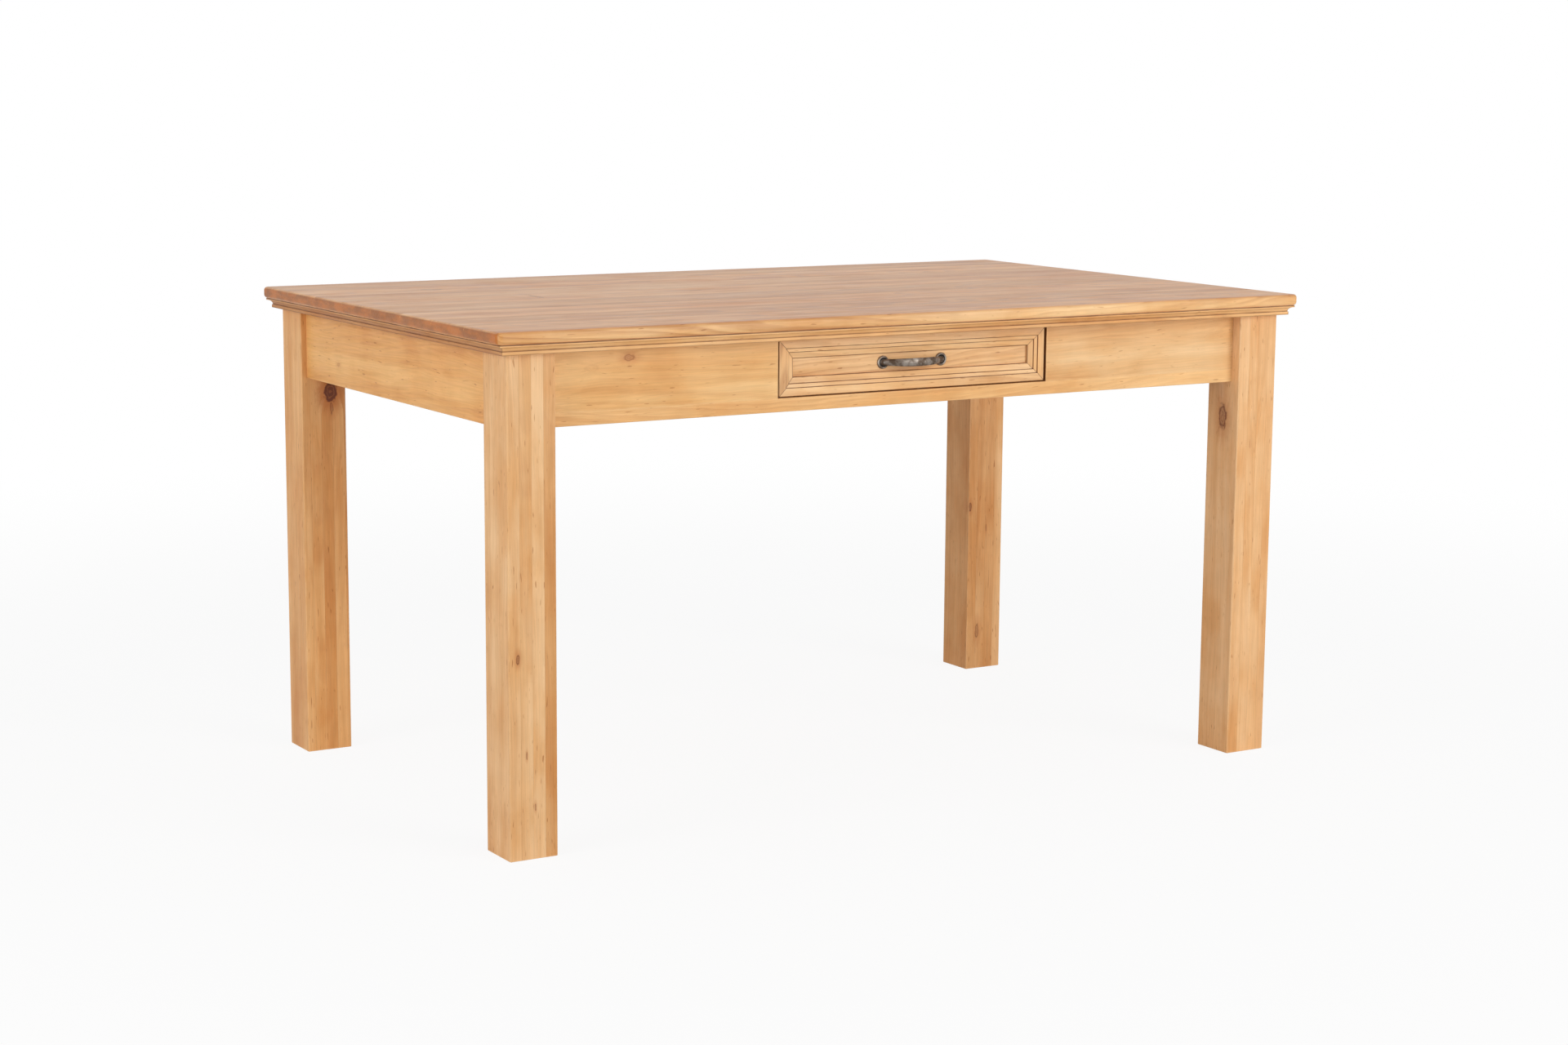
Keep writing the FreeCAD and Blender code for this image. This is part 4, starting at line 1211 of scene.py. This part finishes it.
@dataclass
class DrawerFrame(MitredFrame):
    """The mitred frame on the drawer front: a band, two quirks and a slope down to the panel."""

    body: str = "drawer"
    seed: int = 500
    piece_name: str = "drawer_frame"
    node_name: str = "drawer"
    slot: str = "pine_drawer_front"
    finish: PineFinish = DRAWER_PINE
    sides: tuple[str, ...] = ("rail_bottom", "stile_right", "rail_top", "stile_left")
    cross_grain: Axis = Axis.Z
    line_core: float = 0.5 * MM
    line_reach: float = 1.6 * MM
    line: float = 1.0
    width: float = 27.5 * MM
    thickness: float = 10 * MM
    band: float = 11.5 * MM
    quirk: float = 1.5 * MM
    bead: float = 6 * MM
    bead_fall: float = 1 * MM
    slope_fall: float = 3 * MM
    edge: float = 1 * MM

    def section(self) -> Sequence[Corner]:
        """The section of the frame.

        Returns:
            Its corners, from the outer back edge round.
        """
        bead_end = self.band + self.bead
        bead_top = self.thickness - self.quirk
        bead_low = bead_top - self.bead_fall
        slope_top = bead_low - self.quirk
        # The lines in the two quirks are old wax together with painted shade; the line where the slope meets
        # the panel is painted shadow.
        return (Corner(0, 0), Corner(0, self.thickness - self.edge), Corner(self.edge, self.thickness),
                Corner(self.band, self.thickness), Corner(self.band, bead_top, self.line),
                Corner(bead_end, bead_low), Corner(bead_end, slope_top, self.line),
                Corner(self.width, slope_top - self.slope_fall, self.line), Corner(self.width, 0))

    def build(self) -> None:
        """Builds and dresses the two rails and the two stiles."""
        low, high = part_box("drawer_panel")
        middle = Vector((0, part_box("drawer_rail_top")[1].y, (low.z + high.z) / 2))
        upright = Matrix.Translation(middle) @ Matrix.Rotation(math.pi / 2, 4, "X")
        self.frame_up(high.x - low.x, high.z - low.z, upright)


@dataclass
class Handle(SubAssembly):
    """A fluted crescent bow on two dished rosettes."""

    body: str = "drawer"
    slot: str = "antique_metal"
    spacing: float = 104 * MM
    reach: float = 22 * MM
    middle_width: float = 12.5 * MM
    end_width: float = 7.6 * MM
    thickness: float = 6 * MM
    overrun: float = math.radians(6)
    flutes: int = 24
    flute_depth: float = 0.06
    flute_angle: float = 60.0
    steps: int = 48
    rim: float = 2.6 * MM
    dish: float = 1.2 * MM
    # How much darker the rosette's side grows towards its back edge against the drawer front.
    back_stain: float = 0.6

    def build(self) -> None:
        """Builds and dresses the bow and both rosettes."""
        ANTIQUE.dress(self.place("bow", self.bow(), self.slot, ["handle_bow"], self.flute_angle))
        for side in ("left", "right"):
            node = f"handle_rosette_{side}"
            PEWTER.dress(self.place(f"rosette_{side}", self.rosette(*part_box(node)), self.slot, [node]))

    def bow(self) -> BMesh:
        """The bow, spun along its arc, swelled to the middle and cut flat on the floors of the dishes.

        Returns:
            Its mesh.
        """
        low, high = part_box("handle_rosette_left")
        panel, base = high.y, low.y
        level = (low.z + high.z) / 2
        half = self.spacing / 2
        rise = self.reach - (panel - base)
        radius = (half ** 2 + rise ** 2) / (2 * rise)
        centre = Vector((0, panel - self.reach + radius, level))
        sweep = math.asin(half / radius) + self.overrun

        mesh = bmesh.new()
        bmesh.ops.create_circle(mesh, segments=2 * self.flutes, radius=1.0)
        for index, vert in enumerate(mesh.verts):
            vert.co *= 1 - self.flute_depth * (index % 2)
        bmesh.ops.rotate(mesh, matrix=Matrix.Rotation(math.pi / 2, 3, "Y"), verts=mesh.verts)
        bmesh.ops.scale(mesh, vec=(1, self.thickness / 2, 1), verts=mesh.verts)
        bmesh.ops.translate(mesh, vec=centre - Vector((0, radius, 0)), verts=mesh.verts)
        bmesh.ops.rotate(mesh, cent=centre, matrix=Matrix.Rotation(-sweep, 3, "Z"), verts=mesh.verts)
        bmesh.ops.spin(mesh, geom=[*mesh.verts, *mesh.edges], cent=centre, axis=(0, 0, 1), dvec=(0, 0, 0),
                       angle=2 * sweep, steps=self.steps)
        for vert in mesh.verts:
            turn = math.atan2(vert.co.x, centre.y - vert.co.y) / sweep
            width = self.end_width + (self.middle_width - self.end_width) * (1 - turn ** 2)
            vert.co.z = level + (vert.co.z - level) * width / 2
        cut(mesh, (0, base + self.dish, 0), (0, 1, 0), clear=True)
        close_holes(mesh)
        return mesh

    def rosette(self, low: Vector, high: Vector) -> BMesh:
        """A rosette, spun from its section.

        Args:
            low: its lowest corner.
            high: its highest corner.

        Returns:
            Its mesh, with the dish stained.
        """
        middle = (low + high) / 2
        radius, deep = (high.z - low.z) / 2, high.y - low.y
        soft = self.rim / 3
        inner, floor = radius - self.rim, deep - self.dish
        places = [(0.0, floor, 1.0), (inner - soft, floor, 1.0), (inner, deep - soft / 2),
                  (inner + soft, deep), (radius - soft, deep - soft / 2), (radius, deep / 2),
                  (radius, 0.0, self.back_stain), (0.0, 0.0, 1.0)]
        mesh = spun(places, self.steps)
        bmesh.ops.rotate(mesh, matrix=Matrix.Rotation(math.pi / 2, 3, "X"), verts=mesh.verts)
        bmesh.ops.translate(mesh, vec=(middle.x, high.y, middle.z), verts=mesh.verts)
        return mesh


@dataclass(frozen=True)
class Bar:
    """The outside of a fastener: the middle of its head, the way it goes in, its length and its radius."""

    head: Vector
    way: Vector
    length: float
    radius: float

    @classmethod
    def round(cls, corners: Sequence[Vector], way: Vector) -> "Bar":
        """The bar that holds a solid's corners.

        Args:
            corners: the corners of the solid.
            way: its axis, which is turned round if the solid is wider at the far end.

        Returns:
            The bar.
        """
        middle = sum(corners, Vector((0, 0, 0))) / len(corners)
        heights = [(corner - middle).dot(way) for corner in corners]
        radii = [(corner - middle - way * height).length for corner, height in zip(corners, heights)]
        low, high = min(heights), max(heights)
        near = max(r for r, height in zip(radii, heights) if height < low + TOUCH)
        far = max(r for r, height in zip(radii, heights) if height > high - TOUCH)
        if far > near + TOUCH:
            way, low, high = -way, -high, -low
        return cls(middle + way * low, way, high - low, max(radii))


def solids_of(node: str) -> list[list[Vector]]:
    """Parts the solids that a node holds.

    Args:
        node: the node's name.

    Returns:
        The corners of each separate solid.
    """
    mesh = bmesh.new()
    mesh.from_mesh(frame["nodes"][node].data)
    bmesh.ops.remove_doubles(mesh, verts=mesh.verts, dist=TOUCH)
    mesh.verts.index_update()
    seen: set[int] = set()
    solids = []
    for first in mesh.verts:
        if first.index in seen:
            continue
        seen.add(first.index)
        reached = [first]
        for vert in reached:
            ahead = [edge.other_vert(vert) for edge in vert.link_edges]
            reached += [other for other in ahead if other.index not in seen]
            seen.update(other.index for other in ahead)
        solids.append([vert.co.copy() for vert in reached])
    mesh.free()
    return solids


@dataclass
class Fasteners(SubAssembly):
    """Hanger bolts with washers and nuts, and screws with a cross recess."""

    sides: int = 24
    nut_sides: int = 6
    shank: float = 2 * MM
    tip_share: float = 0.7
    head_height: float = 2.2 * MM
    head_stands: float = 0.15 * MM
    cross_reach: float = 0.58
    cross_half: float = 0.13
    cross_depth: float = 1.4 * MM
    cross_taper: float = 0.5
    pitch: float = 1.25 * MM
    thread_depth: float = 0.6 * MM
    threaded: float = 15 * MM
    bolt_hole: float = 4.05 * MM
    soft: float = 0.3 * MM

    def build(self) -> None:
        """Builds and dresses the fasteners of this body."""
        wood_screws = ("corner_block_screws", "batten_screws", "runner_screws", "drawer_bottom_screws")
        makers = {"leg_bolts": self.bolt, "leg_washers": self.washer, "leg_nuts": self.nut,
                  "handle_screws": self.pan_screw, **dict.fromkeys(wood_screws, self.sunk_screw)}
        for name, maker in makers.items():
            if frame["nodes"][name]["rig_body"] != self.body:
                continue
            whole = bmesh.new()
            scrap = bpy.data.meshes.new("fastener")
            for corners in solids_of(name):
                bar = Bar.round(corners, self.axis(name, corners))
                mesh = maker(bar)
                turn = bar.way.to_track_quat("Z", "Y").to_matrix().to_4x4()
                bmesh.ops.transform(mesh, matrix=Matrix.Translation(bar.head) @ turn, verts=mesh.verts)
                mesh.to_mesh(scrap)
                mesh.free()
                whole.from_mesh(scrap)
            bpy.data.meshes.remove(scrap)
            ZINC.dress(self.place(f"turned_{name}", whole, "zinc_steel", [name]))

    def axis(self, name: str, corners: Sequence[Vector]) -> Vector:
        """The way that a fastener runs: out to its leg, or along its longest side.

        Args:
            name: the name of its node.
            corners: the corners of its solid.

        Returns:
            The unit direction.
        """
        if name.startswith("leg"):
            return Vector((math.copysign(1, corners[0].x), math.copysign(1, corners[0].y), 0)).normalized()
        return Axis.longest(*limits(corners)).way

    def sunk_screw(self, bar: Bar) -> BMesh:
        """A wood screw whose head narrows to its shank."""
        return self.screw(bar, self.shank)

    def pan_screw(self, bar: Bar) -> BMesh:
        """A machine screw with a straight-sided head."""
        return self.screw(bar, bar.radius)

    def screw(self, bar: Bar, seat: float) -> BMesh:
        """A screw with a cross recess.

        Args:
            bar: its size.
            seat: the radius of its head where it meets the shank.

        Returns:
            Its mesh, driven along Z from the middle of its head.
        """
        mesh = bmesh.new()
        reach, half = bar.radius * self.cross_reach, bar.radius * self.cross_half
        arm = ((half, half, 0), (half, reach, 0), (-half, reach, 0))
        cross = bmesh.ops.create_circle(mesh, segments=4 * len(arm), radius=1.0)["verts"]
        for index, vert in enumerate(cross):
            quarter, step = divmod(index, len(arm))
            vert.co = Matrix.Rotation(math.radians(45 + 90 * quarter), 3, "Z") @ Vector(arm[step])
        recess = mesh.edges[:]
        bmesh.ops.create_circle(mesh, segments=self.sides, radius=bar.radius)
        rim = mesh.edges[len(recess):]
        bmesh.ops.bridge_loops(mesh, edges=[*recess, *rim])
        self.carry(mesh, recess, self.cross_depth, self.cross_taper)
        side = self.carry(mesh, rim, self.head_height, seat / bar.radius)
        neck = self.carry(mesh, side, 0.0, self.shank / seat)
        self.carry(mesh, neck, bar.length - self.head_height, self.tip_share)
        close_holes(mesh)
        bmesh.ops.remove_doubles(mesh, verts=mesh.verts, dist=TOUCH)
        bmesh.ops.translate(mesh, vec=(0, 0, -self.head_stands), verts=mesh.verts)
        return mesh

    def carry(self, mesh: BMesh, edges: Sequence[BMEdge], rise: float, share: float) -> list[BMEdge]:
        """Extrudes a loop of edges along Z.

        Args:
            mesh: the mesh to change.
            edges: the loop.
            rise: how far the new loop goes.
            share: its width beside the old loop's.

        Returns:
            The edges of the new loop.
        """
        grown = bmesh.ops.extrude_edge_only(mesh, edges=edges)["geom"]
        verts = verts_of(grown)
        bmesh.ops.scale(mesh, vec=(share, share, 1), verts=verts)
        bmesh.ops.translate(mesh, vec=(0, 0, rise), verts=verts)
        return [item for item in grown
                if isinstance(item, BMEdge) and all(vert in verts for vert in item.verts)]

    def washer(self, bar: Bar) -> BMesh:
        """A round washer."""
        return self.ring(bar, self.sides)

    def nut(self, bar: Bar) -> BMesh:
        """A six-sided nut."""
        return self.ring(bar, self.nut_sides)

    def ring(self, bar: Bar, corners: int) -> BMesh:
        """A flat ring with a round hole.

        Args:
            bar: its size.
            corners: how many corners its outside has.

        Returns:
            Its mesh, on the Z axis.
        """
        mesh = bmesh.new()
        bmesh.ops.create_circle(mesh, segments=corners, radius=bar.radius)
        if corners < self.sides:
            bmesh.ops.subdivide_edges(mesh, edges=mesh.edges, cuts=self.sides // corners - 1)
        bmesh.ops.create_circle(mesh, segments=self.sides, radius=self.bolt_hole)
        bmesh.ops.bridge_loops(mesh, edges=mesh.edges)
        grown = bmesh.ops.extrude_face_region(mesh, geom=mesh.faces, use_keep_orig=True)["geom"]
        bmesh.ops.translate(mesh, vec=(0, 0, bar.length), verts=verts_of(grown))
        bmesh.ops.recalc_face_normals(mesh, faces=mesh.faces)
        ease(mesh, is_square, self.soft, 2)
        return mesh

    def bolt(self, bar: Bar) -> BMesh:
        """A hanger bolt, with a thread on its tail and a plain shank in the leg.

        Args:
            bar: its size.

        Returns:
            Its mesh, on the Z axis.
        """
        root = bar.radius - self.thread_depth
        places = [(0.0, 0.0), (root, 0.0)]
        for turn in range(round(self.threaded / self.pitch)):
            places += [(bar.radius, (turn + 0.5) * self.pitch), (root, (turn + 1) * self.pitch)]
        return spun([*places, (root, bar.length), (0.0, bar.length)], self.sides)


@dataclass
class InnerBoards(SubAssembly):
    """The boards, blocks and strips inside, as they are cut, with their long edges eased."""

    seed: int = 600
    edge: float = 0.8 * MM
    shortest: float = 12 * MM
    flat_angle: float = math.radians(1)

    def build(self) -> None:
        """Eases and dresses every node of this body that is still shown. Dowels keep their solids."""
        special = {"drawer_bottom": (PLYWOOD, "drawer_plywood"),
                   "drawer_panel": (DRAWER_PINE, "pine_drawer_front")}
        for seed, (name, node) in enumerate(sorted(frame["nodes"].items()), self.seed):
            if node.hide_render or node["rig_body"] != self.body:
                continue
            grain = Axis.Z if name.startswith("corner_block") else Axis.longest(*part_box(name))
            if "dowels" in name:
                BEECH.dress(node, grain, seed)
                LOG.info("%s keeps its solid", name)
                continue
            finish, slot = special.get(name, (INNER_PINE, "pine_inner"))
            finish.dress(self.place(f"eased_{name}", self.eased(node), slot, [name]), grain, seed)

    def eased(self, node: Object) -> BMesh:
        """A node's own shape with its long outer edges eased.

        Args:
            node: the node's object.

        Returns:
            Its mesh.
        """
        mesh = bmesh.new()
        mesh.from_mesh(node.data)
        bmesh.ops.remove_doubles(mesh, verts=mesh.verts, dist=TOUCH)
        bmesh.ops.dissolve_limit(mesh, angle_limit=self.flat_angle, verts=mesh.verts, edges=mesh.edges)
        ease(mesh, lambda edge: edge.is_convex and edge.calc_length() > self.shortest and is_square(edge),
             self.edge, 2)
        return mesh


@dataclass(frozen=True)
class Lamp:
    """A square soft lamp: its name, where it hangs, the length of its sides and its power in watts."""

    name: str
    place: Place
    size: float
    power: float

    def hang(self, aim: Place) -> None:
        """Hangs the lamp.

        Args:
            aim: the point that it faces.
        """
        data = bpy.data.lights.new(self.name, "AREA")
        data.size = self.size
        data.energy = self.power
        lamp = new_object(self.name, data)
        lamp.location = self.place
        lamp.rotation_euler = (Vector(aim) - Vector(self.place)).to_track_quat("-Z", "Y").to_euler()


@dataclass
class Studio:
    """A pale floor, soft lamps, a white surround and the camera."""

    floor_size: float = 60.0
    floor_tone: Colour = (0.86, 0.86, 0.86)
    floor_roughness: float = 0.9
    floor_specular: float = 0.1
    floor_white: float = 0.9
    floor_fade: tuple[float, float] = (1.2, 3.6)
    fill_light: float = 0.46
    lamps: tuple[Lamp, ...] = (Lamp("key_lamp", (2.0, -4.6, 1.7), 3.0, 128.0),
                               Lamp("side_lamp", (-4.6, -1.2, 1.6), 2.4, 82.0))
    lamp_aim: Place = (0.0, 0.0, 0.5)
    lens: float = 66.228
    camera_place: Place = (-2.3993, -3.9626, 1.1299)
    camera_turn: tuple[float, float, float] = (31.300, 9.290, 0.421)

    def build(self) -> None:
        """Sets up everything round the table."""
        self.floor()
        self.surround()
        for lamp in self.lamps:
            lamp.hang(self.lamp_aim)
        self.camera()
        bpy.context.scene.view_settings.view_transform = "Standard"

    def seen_white(self, bench: Bench) -> Wire:
        """Whether a ray comes from the camera, a reflection or a clear piece.

        Args:
            bench: the bench of the floor's material or of the surround.

        Returns:
            A wire that carries 1 for such a ray and 0 for any other.
        """
        path = bench.node("ShaderNodeLightPath").outputs
        camera, glossy, clear = (Wire(bench, path[f"Is {ray} Ray"])
                                 for ray in ("Camera", "Glossy", "Transmission"))
        return bench.maths("MAXIMUM", bench.maths("MAXIMUM", camera, glossy), clear)

    def floor(self) -> None:
        """A pale floor that keeps the table's shadow, and that is clear from below."""
        mesh = bmesh.new()
        bmesh.ops.create_grid(mesh, x_segments=1, y_segments=1, size=self.floor_size / 2)
        piece = new_piece("floor", mesh)
        bench, shader = new_skin(piece, "pale_floor")
        shader.inputs["Base Color"].default_value = (*self.floor_tone, 1.0)
        shader.inputs["Roughness"].default_value = self.floor_roughness
        shader.inputs["Specular IOR Level"].default_value = self.floor_specular
        glow = bench.wire("ShaderNodeEmission", 0, {"Color": WHITE, "Strength": 1.0})
        away = bench.maths("LENGTH", bench.wire("ShaderNodeTexCoord", "Object"))
        share = self.seen_white(bench) * away.ramp(*self.floor_fade, self.floor_white, 1.0)
        above = bench.wire("ShaderNodeMixShader", 0, {0: share, 1: shader.outputs[0], 2: glow})
        below = bench.wire("ShaderNodeBsdfTransparent")
        under = bench.wire("ShaderNodeNewGeometry", "Backfacing")
        both = bench.wire("ShaderNodeMixShader", 0, {0: under, 1: above, 2: below})
        bench.feed(bench.tree.nodes["Material Output"].inputs["Surface"], both)

    def surround(self) -> None:
        """A white surround that lights the table at a plain level."""
        world = bpy.data.worlds.new("white_surround")
        world.use_nodes = True
        bench = Bench(world.node_tree)
        back = world.node_tree.nodes["Background"]
        back.inputs["Color"].default_value = WHITE
        bench.feed(back.inputs["Strength"], self.seen_white(bench).ramp(0.0, 1.0, self.fill_light, 1.0))
        bpy.context.scene.world = world

    def camera(self) -> None:
        """The camera, to the left of the front and a little above the top."""
        data = bpy.data.cameras.new("camera")
        data.lens = self.lens
        yaw, pitch, roll = (math.radians(angle) for angle in self.camera_turn)
        turn = (Matrix.Rotation(-yaw, 4, "Z") @ Matrix.Rotation(math.pi / 2 - pitch, 4, "X")
                @ Matrix.Rotation(roll, 4, "Z"))
        camera = new_object("camera", data)
        camera.matrix_world = Matrix.Translation(self.camera_place) @ turn
        bpy.context.scene.camera = camera


def main() -> None:
    """Builds the table's sub-assemblies in order, then the studio."""
    logging.basicConfig(level=logging.INFO, format="%(name)s: %(message)s")
    for assembly in (TableTop(), Cornice(), Legs(), Aprons(), DrawerFrame(), Handle(),
                     Fasteners("table"), Fasteners("drawer"), InnerBoards("table"), InnerBoards("drawer")):
        assembly.build()
    Studio().build()


if __name__ == "__main__":
    main()
